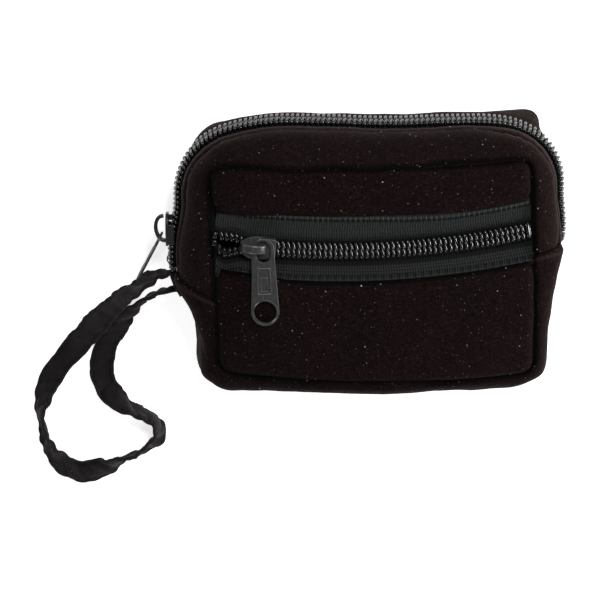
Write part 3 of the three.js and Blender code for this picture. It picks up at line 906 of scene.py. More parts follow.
def front_panel(name, upper, seed):
    """A panel between the pocket's zip and the front seam."""
    rows = []
    for x in panel_steps(FRONT_LOW[0], FRONT_HIGH[0], 0.85):
        if upper:
            fold = chain_y(x) + POCKET_UPPER_EDGE - fold_dip(x)
            seam = FRONT_HIGH[1]
        else:
            fold = chain_y(x) + POCKET_LOWER_EDGE + fold_lift(x)
            seam = FRONT_LOW[1]
        span = abs(seam - fold)
        along = panel_steps(0, span, 0.85, fine_low=False)
        y = fold + (seam - fold) * along / span
        side = min(x - FRONT_LOW[0], FRONT_HIGH[0] - x)
        distance = np.minimum(side, np.abs(seam - y))
        px, py = round_corners(np.full_like(y, x), y, 3.5)
        near_seam = smooth(along / span)
        mx, my = front_map(px, py)
        my = py + (my - py) * near_seam
        rows.append(np.column_stack([mx, my, face_z(mx, my) - edge_drop(distance)]))
    sheet = Fabric(rows, SUEDE, 34, towards=(0, 0, 1))
    sheet.push(-1.15 * bump(sheet.start, 2.6))
    sheet.push(0.22 * waviness(sheet.points, 16, seed) + 0.06 * waviness(sheet.points, 5, seed + 1)
               + 0.02 * waviness(sheet.points, 1.5, seed + 2)
               - 0.22 * bump(sheet.start - FOLD_STITCH, 0.45))
    # Painted shade where the panel dips into the seam's groove, and a painted shadow along its folded
    # edge beside the zip.
    seam_gap = np.minimum(sheet.end, sheet.tips)
    if upper:
        shade = 0.5 * smooth((1.2 - sheet.start) / 0.8)
    else:
        shade = 0.9 * smooth((2.3 - sheet.start) / 1.3)
    tone = 1 - smooth((3.9 - seam_gap) / 1.2) - shade
    return sheet, sheet.build(name, SUEDE_BROWN, tone)


upper_sheet, upper_panel = front_panel("front_upper_suede", True, 20)
lower_sheet, lower_panel = front_panel("front_lower_suede", False, 30)


# ---- Back panel and linings ----
def back_piece():
    """Flat panel on the table, its edge turned up into the seam."""
    centre = BACK.mean(axis=0)
    rows = []
    for point in BACK:
        reach = np.linalg.norm(point - centre)
        inward = np.concatenate([np.array([0, 0.1, 0.3, 0.6, 1.0, 1.5, 2.2, 3.2, 5, 8, 12]),
                                 np.linspace(16, reach, 10)])[::-1]
        flat = centre + (point - centre) * (1 - inward / reach)[:, None]
        curl = 0.9 * (1 - np.clip(inward / 1.3, 0, 1)) ** 1.6
        rows.append(np.column_stack([flat, 0.75 + curl]))
    middle = np.array(rows)
    count, across = middle.shape[:2]
    half = np.full(across, 0.72)
    half[-1] *= 0.35
    swell = 0.1 * waviness(middle, 20, 40) * (np.arange(across) > 0)
    upward = np.array([0, 0, 1])
    top = middle + (half + swell)[..., None] * upward
    bottom = middle - half[None, :, None] * upward
    rings = np.concatenate([top, bottom[:, ::-1]], axis=1)
    faces = ring_faces(count, 2 * across, closed=True)
    lay = rings.reshape(-1, 3)[:, :2]
    return make_piece("back_panel_suede", rings.reshape(-1, 3), faces, SUEDE_BROWN, lay)


back_panel = back_piece()


def lining_sheet(name, x_range, y_range, z, seed):
    """A flat lining that billows a little."""
    rows = []
    for x in np.linspace(*x_range, 60):
        y = np.linspace(*y_range, 40)
        rows.append(np.column_stack([np.full_like(y, x), y, np.full_like(y, z)]))
    sheet = Fabric(rows, LINING_THICK, 36, towards=(0, 0, 1))
    edge = np.minimum(np.minimum(sheet.start, sheet.end), sheet.tips)
    sheet.push(0.25 * waviness(sheet.points, 14, seed) * smooth(edge / 5))
    return sheet.build(name, LINING)


def side_lining_piece():
    """A low wall of lining inside the gusset and the rear strip."""
    low, high = 3.5, 14.0
    rows = []
    for edge, back, out in zip(OUTLINE[::2], BACK_SEAM[::2], OUTWARD[::2]):
        z = np.linspace(low, high, 12)
        lean = (((high - z) / high) ** 1.7)[:, None]
        flat = (edge - out * 2.6) * (1 - lean) + (back - out * 3.0) * lean
        rows.append(np.column_stack([flat, z]))
    sheet = Fabric(rows, LINING_THICK, 12, closed=True)
    sheet.push(0.12 * waviness(sheet.points, 8, 52))
    return sheet.build("side_lining_cloth", LINING)


back_lining = lining_sheet("back_lining_cloth", (-56, 58), (-44, 42), 2.75, 50)
pocket_lining = lining_sheet("pocket_lining_cloth", (-48.5, 52), (-22.5, 32), 25.9, 51)
side_lining = side_lining_piece()


# ---- Zip parts shared by both zips ----
COIL_MID = 1.3           # across, from the chain's centre to the middle of one row
COIL_HALF = 1.35
COIL_BASE = 0.4          # heights of the row above the tape
COIL_TOP = 2.7
WIRE_WIDE = 0.52         # half sizes of the coil's flattened thread
WIRE_HIGH = 0.4
TAPE_INNER = 0.6         # the tape's inner edge, from the chain's centre
ROWS = {1: "upper", -1: "lower"}    # side of the pocket zip, and its name


def squared(angle, power):
    """Cosine and sine with squarer corners, for rounded boxes."""
    c, s = np.cos(angle), np.sin(angle)
    return np.sign(c) * np.abs(c) ** power, np.sign(s) * np.abs(s) ** power


def coil(place, start, end, side, phase, spread=None):
    """Rings of one nylon coil. place turns (s, v, w) arrays into points, where s runs along the
    chain, v across it and w out of the tape. side is +1 or -1; spread(s) is a shift across."""
    turns = (end - start) / COIL_PITCH
    t = np.linspace(0, turns, round(turns * 18) + 1)
    turn = 2 * math.pi * (t + phase)
    c, s = np.cos(turn), side * np.sin(turn)
    across = np.sign(c) * np.abs(c) ** 0.8
    rise = np.sign(s) * np.abs(s) ** 0.6
    upright = 0.1 if side > 0 else 0.75
    along = start + COIL_PITCH * (t + side * upright * np.cos(turn) / (2 * math.pi))
    shift = spread(along) if spread else 0
    v = side * (COIL_MID + COIL_HALF * across) + shift
    w = (COIL_BASE + COIL_TOP) / 2 + ((COIL_TOP - COIL_BASE) / 2 - WIRE_HIGH) * rise
    path = place(along, v, w)
    run = unit(place(along + 0.5, v, w) - place(along - 0.5, v, w))
    ahead = unit(np.gradient(path, axis=0))
    wide = unit(run - np.sum(run * ahead, axis=1, keepdims=True) * ahead)
    high = np.cross(ahead, wide)
    around = np.linspace(0, 2 * math.pi, 10, endpoint=False)
    return (path[:, None] + WIRE_WIDE * np.cos(around)[None, :, None] * wide[:, None]
            + WIRE_HIGH * np.sin(around)[None, :, None] * high[:, None])


def stop_block(name, place, s_range, v_range, w_range):
    """A moulded stop: a rounded block with two shallow waists."""
    share = np.linspace(0, 1, 15)
    waist = 1 - 0.1 * np.cos(6 * math.pi * share)
    swell = np.sin(math.pi * np.clip(share, 0.02, 0.98)) ** 0.35 * waist
    box_v, box_w = squared(np.linspace(0, 2 * math.pi, 20, endpoint=False), 0.5)
    v = sum(v_range) / 2 + (v_range[1] - v_range[0]) / 2 * swell[:, None] * box_v[None]
    w = sum(w_range) / 2 + (w_range[1] - w_range[0]) / 2 * swell[:, None] * box_w[None]
    run = (s_range[0] + (s_range[1] - s_range[0]) * share)[:, None] + 0 * v
    return tubes_piece(name, [place(run, v, w)], NYLON)


# ---- Pocket zip ----
BOW_AXIS = np.array([0, math.sin(BOW_TILT), math.cos(BOW_TILT)])
BOW_CENTRE = CHAIN_LOW + CHAIN_R * np.array([0, math.cos(BOW_TILT), -math.sin(BOW_TILT)])


def on_pocket_chain(s, v, w):
    """Point at arc length s, v above the chain's centre line and w out of the tape."""
    s, v, w = np.broadcast_arrays(np.asarray(s, float), v, w)
    arm = np.stack([np.zeros_like(s), v, w], axis=-1) + (CHAIN_LOW - BOW_CENTRE)
    angle = (s / CHAIN_R)[..., None]
    across = np.cross(BOW_AXIS, arm)
    keep = (arm @ BOW_AXIS)[..., None] * BOW_AXIS
    return BOW_CENTRE + arm * np.cos(angle) + across * np.sin(angle) + keep * (1 - np.cos(angle))


def upper_spread(s):
    """How far the upper row stands off left of the slider."""
    return 1.2 * smooth((-31.5 - s) / 4.0)


def lower_spread(s):
    """The lower row drops away left of the slider and comes back at its end."""
    open_by = smooth((-31.5 - s) / 7.0)
    back = smooth((-37.5 - s) / 7.0)
    return -1.9 * open_by + 3.6 * back


def ribs(s):
    return 0.5 - 0.5 * wave_line(s, RIB_PITCH)


def tape_sheet(side, s, outer):
    """The plain tape, opened like its coil left of the slider."""
    v = np.linspace(TAPE_INNER, outer, 60)
    spread = upper_spread(s) if side > 0 else lower_spread(s)
    lean = side * v[None] + spread[:, None] * bump(v - TAPE_INNER, 4.5)[None]
    return Fabric(on_pocket_chain(s[:, None], lean, 0 * lean), 0.7, 46, towards=(0, 0, 1))


def pocket_tape(side):
    """One woven tape of the pocket zip, with its ribs and looped outer edge."""
    upper = side > 0
    s = np.arange(CHAIN_START - 3.2, CHAIN_END + 6.5, RIB_PITCH / 4)
    sheet = tape_sheet(side, s, 13.2 if upper else 12.2)
    across = sheet.start + TAPE_INNER
    run = s[:, None] + 0 * across
    wobble = run + 0.12 * np.sin(across * 1.3)
    if upper:
        edge = POCKET_UPPER_EDGE - 0.15 - fold_dip(run)
        loop_pitch, hole_shade, edge_rise = 1.87, 2.4, 0.9
        height, pale = 0.3 * ribs(wobble), 0.0
        channel, dark = 0.3, smooth((3.5 - across) / 0.5)
    else:
        edge = -POCKET_LOWER_EDGE - 0.1 - fold_lift(run)
        loop_pitch, hole_shade, edge_rise = 2.6, 0.8, 0.8
        beads = smooth((across - 6.0) / 0.8)
        lines = 0.5 + 0.5 * wave_line(across - 7.1, 1.12)
        height = (1 - beads) * 0.19 * ribs(wobble) + beads * 0.3 * lines * (0.35 + 0.65 * ribs(run))
        pale = beads * (0.1 * lines - 0.45 * (1 - lines))
        channel, dark = 0.55, smooth((6.0 - across) / 0.7)
    loop = 0.5 + 0.5 * wave_line(run, loop_pitch)
    selvedge = bump(across - (edge - 0.45), 0.32)
    holes = bump(across - (edge - 1.25), 0.45) * (1 - loop) ** 0.6
    beside_coil = bump(across - 3.55, 0.5) + smooth((3.4 - across) / 0.5)
    height = height * (1 - np.clip(beside_coil, 0, 1)) - channel * bump(across - 3.7, 0.6)
    height = height + selvedge * (0.1 + 0.22 * loop) - 0.25 * holes
    height = height + edge_rise * smooth((across - edge + 4.5) / 5)
    sheet.push(height + 0.12 * waviness(sheet.points, 12, 60 + side))
    # Painted shadow beside the coil and under the suede's fold, and painted shade in the holes of the
    # looped edge and between the beaded lines.
    tone = 1 + selvedge * (0.1 + 0.4 * loop) + pale - hole_shade * holes
    tone = tone - 0.95 * dark - 0.6 * smooth((across - edge - 0.1) / 0.4)
    sheet.along = wobble
    return sheet.build(f"pocket_tape_{ROWS[side]}_woven", TAPE_GREY, tone)


pocket_tapes = {1: pocket_tape(1), -1: pocket_tape(-1)}
pocket_coils = {}
for side, phase, spread in ((1, 0.0, upper_spread), (-1, 0.5, lower_spread)):
    rings = coil(on_pocket_chain, CHAIN_START - 0.9, CHAIN_END + 2.9, side, phase, spread)
    pocket_coils[side] = tubes_piece(f"pocket_coil_{ROWS[side]}_nylon", [rings], NYLON)


pocket_stops = {}
for label, v_range in (("upper", (1.2, 3.6)), ("lower", (-1.6, 0.8))):
    pocket_stops[f"pocket_top_stop_{label}"] = stop_block(
        f"pocket_stop_{label}_nylon", on_pocket_chain,
        (CHAIN_START - 3.4, CHAIN_START - 1.6), v_range, (0.4, 2.3))
pocket_stops["pocket_bottom_stop"] = stop_block(
    "pocket_stop_end_nylon", on_pocket_chain,
    (CHAIN_END + 3.2, CHAIN_END + 5.2), (-2.8, 2.8), (0.4, 2.4))

# ---- Main zip ----
def on_main_chain(s, v, w):
    """Point of the main zip: v towards the front, w outwards. The chain leans forwards, most at
    the top, and sits a little inside the outline."""
    inset, drop = 1.15, 0.3
    s, v, w = np.broadcast_arrays(np.asarray(s, float), v, w)
    at = s / STEP
    base = [np.interp(at, np.arange(STEPS), OUTLINE[:, k]) for k in range(2)]
    out = [np.interp(at, np.arange(STEPS), OUTWARD[:, k]) for k in range(2)]
    lean = np.radians(12 + 8 * smooth(out[1]))
    radial = w * np.cos(lean) - v * np.sin(lean) - inset
    height = ZIP_Z + v * np.cos(lean) + w * np.sin(lean) - drop
    return np.stack([base[0] + out[0] * radial, base[1] + out[1] * radial, height], axis=-1)


def main_tape(side, label):
    """One tape of the main zip; its outer edge bends in under the suede."""
    s = np.arange(0.3, ARCH_END - 0.3, RIB_PITCH / 4)
    v = np.linspace(TAPE_INNER, 5.4, 16)
    w = -0.05 - 0.55 * np.clip(v - 2.8, 0, None)
    tape = Fabric(on_main_chain(s[:, None], side * v[None], w[None]), 0.6, 14)
    tape.push(0.1 * ribs(s[:, None]))
    tape.along = s[:, None] + 0 * tape.start
    # Painted shade on the tape beside and under the coil.
    tone = 1 - 0.6 * smooth((3.3 - tape.start) / 1.0)
    return tape.build(f"main_tape_{label}_woven", TAPE_GREY, tone)


main_coils, main_tapes, main_stops = {}, {}, {}
for side, phase, label in ((1, 0.0, "front"), (-1, 0.5, "rear")):
    rings = coil(on_main_chain, 2.2, ARCH_END - 2.2, side, phase)
    main_coils[label] = tubes_piece(f"main_coil_{label}_nylon", [rings], NYLON)
    main_tapes[label] = main_tape(side, label)
    main_stops[label] = stop_block(f"main_stop_{label}_nylon", on_main_chain, (0.3, 2.4),
                                   (side * 0.4, side * 2.8), (0.3, 2.6))
end_stop = stop_block("main_stop_end_nylon", on_main_chain, (ARCH_END - 2.4, ARCH_END - 0.2),
                      (-2.8, 2.8), (0.3, 2.5))


# ---- Sliders and pulls ----
def placed(piece, matrix):
    """The piece, moved by a matrix on top of where it is."""
    piece.matrix_world = matrix @ piece.matrix_world
    bpy.context.view_layer.update()
    return piece


def turned(axis, degrees):
    return Matrix.Rotation(math.radians(degrees), 4, axis)


def moved(x, y, z):
    return Matrix.Translation((x * MM, y * MM, z * MM))


def chain_seat(s):
    """Place and turn of a slider on the pocket zip."""
    turn = Matrix.Rotation(s / CHAIN_R, 4, Vector(BOW_AXIS))
    return moved(*BOW_CENTRE) @ turn @ moved(*(CHAIN_LOW - BOW_CENTRE))


def slider_outline(length=11.6, nose=7.8, tail=6.6):
    """Plate outline: blunt pointed nose towards -x, narrower tail towards +x."""
    half = length / 2
    return np.concatenate([
        bezier([(half - 0.6, -tail / 2), (half, -tail / 2), (half, -tail / 2 + 0.8)], 6),
        bezier([(half, tail / 2 - 0.8), (half, tail / 2), (half - 0.6, tail / 2)], 6),
        bezier([(-0.5, nose / 2), (-3.6, nose / 2 + 0.1), (-half, nose / 2 - 2.0)], 12),
        bezier([(-half, 1.2), (-half - 0.15, 0), (-half, -1.2)], 6),
        bezier([(-half, -nose / 2 + 2.0), (-3.6, -nose / 2 - 0.1), (-0.5, -nose / 2)], 12),
    ])


def strap_bar(points, thick, wide):
    """A bent strip with rounded corners, its centreline in the xz plane."""
    path = bezier_chain(points, 28)
    along = unit(np.gradient(path, axis=0))
    normal = np.stack([-along[:, 2], np.zeros(len(path)), along[:, 0]], axis=1)
    across, rise = squared(np.linspace(0, 2 * math.pi, 16, endpoint=False), 0.45)
    return (path[:, None] + (across * wide / 2)[None, :, None] * np.array([0, 1, 0])
            + (rise * thick / 2)[None, :, None] * normal[:, None])


def bezier_chain(points, count):
    """A smooth curve through points given as rows of three numbers."""
    points = np.array(points, float)
    knots = np.concatenate([points[:1] * 2 - points[1:2], points, points[-1:] * 2 - points[-2:-1]])
    spans = len(points) - 1
    rows = []
    for t in np.linspace(0, spans, count):
        i = min(int(t), spans - 1)
        u = t - i
        p0, p1, p2, p3 = knots[i:i + 4]
        rows.append(0.5 * (2 * p1 + (p2 - p0) * u + (2 * p0 - 5 * p1 + 4 * p2 - p3) * u ** 2
                           + (3 * p1 - p0 - 3 * p2 + p3) * u ** 3))
    return np.array(rows)


def circle(radius, centre_y, count):
    """Points on a circle with its centre on the y axis."""
    return arc(0, centre_y, radius, 0, 360, count + 1)[:-1]


def rectangle(x_range, y_range, radius):
    """Rounded rectangle, clockwise from its lower left corner."""
    (x0, x1), (y0, y1) = x_range, y_range
    return rounded([(x0, y0, radius), (x0, y1, radius), (x1, y1, radius), (x1, y0, radius)])


def pull_tab(name, thick, metal):
    """Pull: ring head at the origin, tab towards -y, round hole near its end, raised frames."""
    ring, window, hole_at, hole, end = 3.8, 2.4, -21.8, 3.8, 4.8
    outline = np.concatenate([
        arc(0, 0, ring, 0, 180, 28),
        bezier([(-ring, 0), (-ring - 0.1, -3), (-ring + 0.05, -5.5), (-end, hole_at)], 10)[1:],
        arc(0, hole_at, end, 180, 360, 36)[1:],
        bezier([(end, hole_at), (ring - 0.05, -5.5), (ring + 0.1, -3), (ring, 0)], 10)[1:-1],
    ])
    slot = np.concatenate([arc(0, 0.5, window, 0, 180, 20), arc(0, -2.0, window, 180, 360, 20)])
    parts = [plate(name + "_body", outline, [slot, circle(hole, hole_at, 40)], thick, metal, 0.2)]
    raised = (
        ("_frame", rectangle((-2.3, 2.3), (-15.6, -6.2), 0.5),
         rectangle((-1.85, 1.85), (-15.1, -6.7), 0.4), 0.36, 0.08),
        ("_inner", rectangle((-1.2, 1.2), (-14.6, -9.6), 0.3),
         rectangle((-0.95, 0.95), (-14.3, -9.9), 0.2), 0.3, 0.06),
        ("_lip", circle(hole + 0.55, hole_at, 40), circle(hole + 0.05, hole_at, 40), 0.34, 0.1),
    )
    for label, outside, inside, rise, bevel in raised:
        rim = plate(name + label, outside, [inside], rise, metal, bevel)
        parts.append(placed(rim, moved(0, 0, thick / 2)))
    return merge(name, parts)


def pocket_slider_piece():
    """Two plates joined by a post, with a flange along each side."""
    parts = []
    for label, thick, height, bevel in (("top", 0.85, 3.35, 0.25), ("under", 0.8, -1.1, 0.2)):
        layer = plate("slider_" + label, slider_outline(), [], thick, METAL, bevel)
        parts.append(placed(layer, moved(0, 0, height)))
    post = plate("slider_post", circle(1.2, 0, 16) * [1.2, 0.35], [], 4.2, METAL, 0.05)
    parts.append(placed(post, moved(-3.2, 0, 1.1)))
    flange = rounded([(-1.5, 3.2, 0.2), (-1.5, 3.85, 0.2), (5.4, 3.35, 0.2), (5.4, 2.75, 0.2)])
    for side in (1, -1):
        wall = plate("slider_flange", flange, [], 2.3, METAL)
        parts.append(placed(wall, Matrix.Diagonal((1, side, 1, 1)) @ moved(0, 0, 2.0)))
    return merge("pocket_slider_metal", parts)


def side_plate(name, x, half):
    """A plate of the main slider, standing in the yz plane with its nose towards +y."""
    low, high = 4.0, 15.2
    shape = slider_outline(high - low, 2 * half, 2 * half - 1.2)
    piece = plate(name, shape, [], 0.9, SHADED_METAL, 0.2)
    stand = Matrix(((0, 0, 1, 0), (-1, 0, 0, 0), (0, 1, 0, 0), (0, 0, 0, 1)))
    return placed(piece, moved(x, (low + high) / 2, ZIP_Z) @ stand)


def main_slider_piece():
    """A slider standing on its side at the left end of the main zip."""
    parts = [side_plate("main_outer", -68.9, 3.9), side_plate("main_inner", -63.3, 3.8)]
    for z in (15.9, 22.9):
        wall = rectangle((-68.9, -66.4), (4.6, 11.5), 0.3)
        parts.append(placed(plate("main_wall", wall, [], 0.6, SHADED_METAL), moved(0, 0, z)))
    post = rectangle((-68.6, -63.5), (12.6, 14.6), 0.3)[::-1]
    post = plate("main_post", post, [], 0.7, SHADED_METAL, 0.1)
    parts.append(placed(post, moved(0, 0, ZIP_Z)))
    return merge("main_slider_metal", parts)


SEAT = chain_seat(POCKET_SLIDER_AT)
CROWN_PATH = [(-5.0, 0, 3.7), (-5.0, 0, 4.9), (-4.2, 0, 6.1), (-2.4, 0, 6.85), (-0.4, 0, 6.7),
              (1.2, 0, 5.9), (2.0, 0, 4.9), (1.9, 0, 3.8)]
HOOK_PATH = [(-69.0, 0, 5.6), (-70.4, 0, 5.5), (-71.8, 0, 6.6), (-72.7, 0, 8.6), (-72.9, 0, 10.8),
             (-72.3, 0, 12.9), (-71.2, 0, 13.9), (-70.2, 0, 14.1)]
POCKET_PULL_AT = (-35.55, 6.404, 38.632)     # middle of its ring, on the crown
MAIN_PULL_TURN = -116.7                      # degrees from +x, the way the main pull hangs
MAIN_PULL_PIN = Vector((-70.9, 7.8, ZIP_Z))
RING_BELOW_PIN = 3.1

pocket_slider = placed(pocket_slider_piece(), SEAT)
pocket_crown = tubes_piece("pocket_crown_metal", [strap_bar(CROWN_PATH, 0.95, 2.8)], METAL)
placed(pocket_crown, SEAT)
pocket_pull = pull_tab("pocket_pull_metal", 1.2, METAL)
placed(pocket_pull, moved(*POCKET_PULL_AT) @ turned("Z", 1.7) @ turned("X", 2))

main_slider = main_slider_piece()
main_crown = tubes_piece("main_crown_metal", [strap_bar(HOOK_PATH, 1.3, 2.2)], SHADED_METAL)
placed(main_crown, moved(0, 0, ZIP_Z) @ turned("X", 90) @ Matrix.Diagonal((1, 1, -1, 1)))
main_pull = pull_tab("main_pull_metal", 0.8, SHADED_METAL)
hang = math.radians(MAIN_PULL_TURN)
ring_at = MAIN_PULL_PIN + RING_BELOW_PIN * Vector((math.cos(hang), math.sin(hang), 0))
placed(main_pull, moved(*ring_at) @ turned("Z", MAIN_PULL_TURN) @ turned("Y", 40)
       @ turned("X", 90) @ turned("Z", 90))

# ---- Wrist strap ----
STRAP_WIDTH = 8.5
STRAP_THICK = 1.1

# Route of the loop: x, y, roll in degrees (0 lies flat, 90 stands on edge), height of its
# lower edge above the surface. The CAD model has nearly the same route.
STRAP_ROUTE = [
    (-69.8, -7.2, 88, 12.6), (-74.0, -8.4, 84, 13.4), (-80.0, -12.0, 66, 13.6),
    (-87.6, -18.0, 44, 9.8), (-95.4, -26.8, 20, 5.0), (-104.2, -37.4, 6, 1.4),
    (-112.2, -47.4, 8, 0.4), (-115.8, -55.6, 42, 0.4), (-116.4, -64.4, 74, 0.4),
    (-114.6, -74.0, 52, 0.4), (-110.0, -82.0, 14, 0.4), (-103.4, -85.6, 2, 0.4),
    (-96.4, -83.8, 16, 0.4), (-89.8, -80.6, 62, 0.4), (-83.4, -77.0, 80, 0.4),
    (-77.2, -73.6, 58, 0.4), (-74.0, -69.4, 64, 0.4), (-75.6, -64.6, 80, 0.4),
    (-80.2, -61.4, 84, 0.4), (-85.4, -59.0, 72, 0.4), (-90.6, -55.6, 38, 0.4),
    (-94.0, -51.0, 10, 0.4), (-94.8, -44.4, 2, 0.4), (-92.8, -36.4, 6, 0.8),
    (-87.8, -28.6, 26, 3.0), (-82.2, -22.0, 62, 6.2), (-76.4, -16.8, 84, 10.0),
    (-71.4, -13.8, 88, 12.2), (-68.2, -12.6, 90, 13.0),
]


def strap_frame(count):
    """Centre, width direction and face direction along the strap, from inside the seam and back."""
    knots = []
    inside_seam = [(-65.2, -6.6, 88, 13.4), (-63.4, -11.4, 90, 13.4)]
    for x, y, roll, lift in [inside_seam[0], *STRAP_ROUTE, inside_seam[1]]:
        lean = math.radians(roll)
        rise = STRAP_WIDTH / 2 * math.sin(lean) + STRAP_THICK / 2 * math.cos(lean)
        knots.append((x, y, lift + rise, lean))
    route = bezier_chain([k[:3] for k in knots], count)
    lean = np.interp(np.linspace(0, 1, count), np.linspace(0, 1, len(knots)),
                     [k[3] for k in knots])
    lean = np.convolve(np.pad(lean, 6, mode="edge"), np.ones(13) / 13, mode="valid")
    along = np.gradient(route, axis=0)
    along[:, 2] = 0
    along = unit(along)
    side = np.stack([-along[:, 1], along[:, 0], 0 * lean], axis=1)
    up = np.array([0, 0, 1.0])
    wide = side * np.cos(lean)[:, None] + up * np.sin(lean)[:, None]
    face = up * np.cos(lean)[:, None] - side * np.sin(lean)[:, None]
    return route, wide, face


def strap_piece():
    """The strap: creased, curling from side to side, and narrower where it is sewn in."""
    count = 520
    route, wide, face = strap_frame(count)
    share = np.linspace(0, 1, count)
    offset = np.linspace(-1, 1, 40)
    ragged = waviness(np.column_stack([route[:, :2], 0 * share]), 9, 69)
    narrow = 1 - 0.3 * bump(share, 0.05) - 0.42 * bump(share - 1, 0.1) + 0.09 * ragged
    half = STRAP_WIDTH / 2 * narrow
    curl = 0.9 * np.sin(2 * math.pi * share * 4.3)
    rows = (route[:, None] + wide[:, None] * (offset[None] * half[:, None])[..., None]
            + face[:, None] * ((offset ** 2)[None] * curl[:, None])[..., None])
    sheet = Fabric(rows, STRAP_THICK + 0.25, 26)
    edge = np.minimum(sheet.start, sheet.end)
    slanted = np.stack([sheet.along / 3.4 + sheet.start / 5, sheet.start / 9, 0 * edge], axis=2)
    crease = waviness(slanted, 1.0, 70)
    crease = np.sign(crease) * np.abs(crease) ** 0.75
    calm = smooth(edge / 1.0)
    sheet.push(0.6 * crease + 0.5 * waviness(sheet.points, 7, 71) * calm
               + 0.12 * waviness(sheet.points, 2.2, 72))
    # Painted shade where the stitches pinch the cloth.
    stitched = bump(edge - STRAP_STITCH, 0.28)
    pinch = 0.5 + 0.5 * wave_line(sheet.along, 2.2)
    tone = 1 - 0.55 * stitched * pinch
    return sheet, sheet.build("wrist_strap_cotton", COTTON, tone)


def anchor_piece():
    """The strap's folded end, sewn on over the side seam."""
    low, high = 12.8, 21.2
    z = np.linspace(low, high, 12)
    puff = np.sin(math.pi * (z - low) / (high - low)) ** 0.5
    rows = []
    for i in [(STEPS - k) % STEPS for k in range(12)]:
        if -14 < OUTLINE[i][1] < -6:
            flat = OUTLINE[i][None] + OUTWARD[i][None] * (0.7 + 0.8 * puff)[:, None]
            rows.append(np.column_stack([flat, z]))
    sheet = Fabric(rows, 1.3, 14)
    sheet.push(0.25 * waviness(sheet.points, 4, 75))
    # Painted shade towards the anchor's ends, where it meets the suede.
    return sheet.build("strap_anchor_cotton", COTTON, 1 - 0.3 * bump(sheet.tips, 0.6))


strap_sheet, strap = strap_piece()
strap_rows = [strap_sheet.line(from_start=STRAP_STITCH), strap_sheet.line(from_end=STRAP_STITCH)]
strap_stitches = stitches("strap_stitches", strap_rows, 2.2, 1.5, 0.13, DARK_THREAD)
anchor = anchor_piece()


# ---- Loose ends at the left end of the main zip ----
def loose_coil_piece():
    turn = np.radians(np.linspace(60, 290, 22))
    path = np.column_stack([-67.6 + 1.5 * np.cos(turn), -1.0 + 1.75 * np.sin(turn),
                            19.4 + 0.5 * np.sin(turn * 0.5)])
    return tubes_piece("loose_coil_end", [tube(path, 0.24, 8)], NYLON)


def thread_end_piece():
    """Three frayed threads, each with its own curl."""
    t = np.linspace(0, 1, 14)
    threads = []
    for k in range(3):
        x = -65.9 + 1.5 * t + 0.2 * np.sin(9 * t + k)
        y = -3.6 - 0.5 * t + 0.35 * np.cos(7 * t + 2 * k)
        z = 23.4 + 1.2 * np.sin(math.pi * t) + 0.25 * np.sin(5 * t + 2.1 * k)
        threads.append(tube(np.column_stack([x, y, z]), 0.22, 7))
    return tubes_piece("thread_end", threads, PALE_THREAD)


loose_loop = loose_coil_piece()
thread_end = thread_end_piece()

# ---- Stitching ----
lip_stitches = stitches("front_strip_stitches", [strip.line(from_end=LIP_STITCH)],
                        3.7, 2.0, 0.13, LIP_THREAD)
rear_stitches = stitches("rear_strip_stitches", [rear.line(from_start=REAR_STITCH, out=-0.05)],
                         3.7, 2.2, 0.14, DARK_THREAD)
upper_stitches = stitches("upper_panel_stitches", [upper_sheet.line(from_start=FOLD_STITCH)],
                          3.4, 2.1, 0.13, DARK_THREAD)
lower_stitches = stitches("lower_panel_stitches", [lower_sheet.line(from_start=FOLD_STITCH)],
                          3.4, 2.1, 0.13, DARK_THREAD)


# ---- Which body each piece belongs to ----
def settle(piece, body, slot, *nodes):
    """Attaches a rigid piece to its body and hides the CAD nodes that it stands for; slot is not
    used.
    """
    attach(piece, body)
    if nodes:
        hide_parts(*nodes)


def settle_blend(piece, a, b, start, end, slot, *nodes):
    """Bakes a piece's place into its points and hides the CAD nodes that it stands for; a, b, start,
    end and slot are not used.
    """
    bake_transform(piece)
    if nodes:
        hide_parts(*nodes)


settle(front_strip, "front_flap", "suede", "front_arch_strip")
settle(lip_stitches, "front_flap", "suede")
settle(rear_strip, "pouch", "suede", "rear_strip")
settle(rear_stitches, "pouch", "suede")
settle(back_panel, "pouch", "suede", "back_panel")
settle(back_lining, "pouch", "lining", "back_lining")
settle(side_lining, "pouch", "lining", "side_lining")
settle(pocket_lining, "front_flap", "lining", "pocket_lining")
settle(upper_panel, "front_flap", "suede", "front_upper_panel")
settle(upper_stitches, "front_flap", "suede")
settle(lower_stitches, "front_flap", "suede")
settle_blend(lower_panel, "pouch", "front_flap", (0, -31, 36), (0, -17, 36), "suede",
             "front_lower_panel", "front_mid_panel")
settle_blend(gusset, "pouch", "front_flap", (0, -0.36, 14.36), (-0.31, 3.31, 21.57),
             "suede", "lower_gusset")
for side, label in ROWS.items():
    settle(pocket_tapes[side], "front_flap", "zip_tape", f"pocket_tape_{label}")
    settle(pocket_coils[side], "front_flap", "zip_coil", f"pocket_coil_{label}")
for node, piece in pocket_stops.items():
    settle(piece, "front_flap", "zip_coil", node)
for label, body in (("front", "front_flap"), ("rear", "pouch")):
    settle(main_tapes[label], body, "zip_tape", f"main_tape_{label}")
    settle(main_coils[label], body, "zip_coil", f"main_coil_{label}")
    settle(main_stops[label], body, "zip_coil", f"main_top_stop_{label}")
settle(end_stop, "pouch", "zip_coil", "main_bottom_stop")
settle(pocket_slider, "pocket_slider", "slider_metal", "pocket_slider_body")
settle(pocket_crown, "pocket_slider", "slider_metal", "pocket_slider_crown")
settle(pocket_pull, "pocket_pull", "slider_metal", "pocket_pull")
settle(main_slider, "main_slider", "slider_metal", "main_slider_body")
settle(main_crown, "main_slider", "slider_metal", "main_slider_crown")
settle(main_pull, "main_pull", "slider_metal", "main_pull")
settle(anchor, "pouch", "strap_cotton", "strap_anchor")
settle(loose_loop, "pouch", "zip_coil")
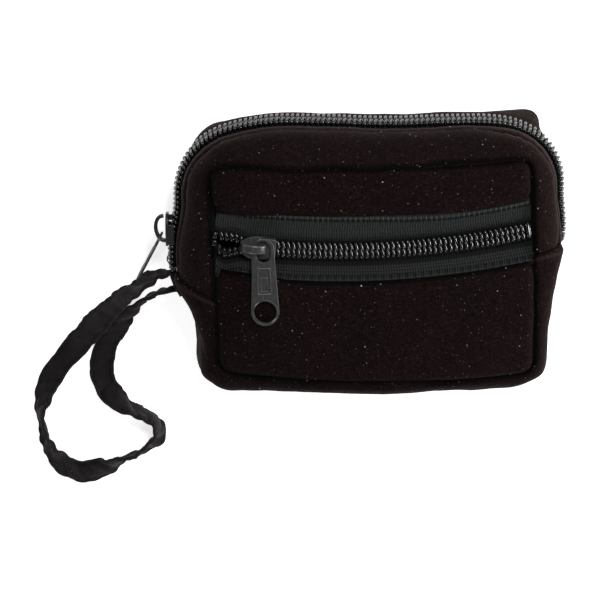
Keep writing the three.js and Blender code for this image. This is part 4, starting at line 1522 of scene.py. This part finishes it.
settle(thread_end, "pouch", "strap_cotton")
ROOT = (-69.5, -8.5, 17.0)     # where the strap is sewn to the pouch, and a point further out along it
LOOSE = (-74.4, -14.8, 17.0)
settle_blend(strap, "pouch", "wrist_strap", ROOT, LOOSE, "strap_cotton", "wrist_strap")
settle_blend(strap_stitches, "pouch", "wrist_strap", ROOT, LOOSE, "strap_cotton")


# ---- Stage: floor, light and camera; places in metres ----
LIGHT_AIM = Vector((-0.02, 0, 0.02))


def floor():
    """A white ground far larger than the view, a hair below the pouch."""
    far, height = 4000, -0.15
    points = [(x * far, y * far, height) for x, y in ((-1, -1), (1, -1), (1, 1), (-1, 1))]
    f = Finish("floor", 0.9, Specular_IOR_Level=0.1, Emission_Color=(1, 1, 1, 1),
               Emission_Strength=0.72)
    f.set("Base Color", f.mix(f.noise(8), (0.93, 0.93, 0.93), (0.95, 0.95, 0.95)))
    piece = make_piece("floor", points, [(0, 1, 2, 3)], f.material, weld=False)


def area_light(name, place, size, power):
    light = bpy.data.lights.new(name, "AREA")
    light.shape = "DISK"
    light.size = size
    light.energy = power
    lamp = add_object(name, light)
    lamp.location = place
    lamp.rotation_euler = (LIGHT_AIM - Vector(place)).to_track_quat("-Z", "Y").to_euler()


def studio():
    """A soft white sky, brightest near the horizon, and three lamps."""
    world = bpy.data.worlds.new("studio")
    world.use_nodes = True
    tree = world.node_tree
    back = tree.nodes["Background"]
    place = tree.nodes.new("ShaderNodeTexCoord")
    split = tree.nodes.new("ShaderNodeSeparateXYZ")
    ramp = tree.nodes.new("ShaderNodeValToRGB")
    tree.links.new(place.outputs["Generated"], split.inputs[0])
    tree.links.new(split.outputs["Z"], ramp.inputs[0])
    tree.links.new(ramp.outputs["Color"], back.inputs["Color"])
    for stop, position, grey in zip(ramp.color_ramp.elements, (0.1, 0.6), (1.0, 0.3)):
        stop.position = position
        stop.color = (grey, grey, grey, 1)
    back.inputs["Strength"].default_value = 0.34
    bpy.context.scene.world = world
    area_light("key", (0.15, 0.42, 0.72), 0.24, 4.2)
    area_light("fill", (0.66, 0.0, 0.20), 0.24, 4.8)
    area_light("low", (-0.25, -0.55, 0.45), 0.2, 1.5)


def camera():
    data = bpy.data.cameras.new("camera")
    data.lens = 109.4
    data.sensor_width = 36
    data.clip_start = 0.01
    data.clip_end = 20
    eye = add_object("camera", data)
    eye.location = (-0.02315, 0.1378, 0.6356)
    eye.rotation_euler = (math.radians(-14), 0, 0)
    bpy.context.scene.camera = eye


floor()
studio()
camera()
bpy.context.scene.view_settings.view_transform = "Standard"
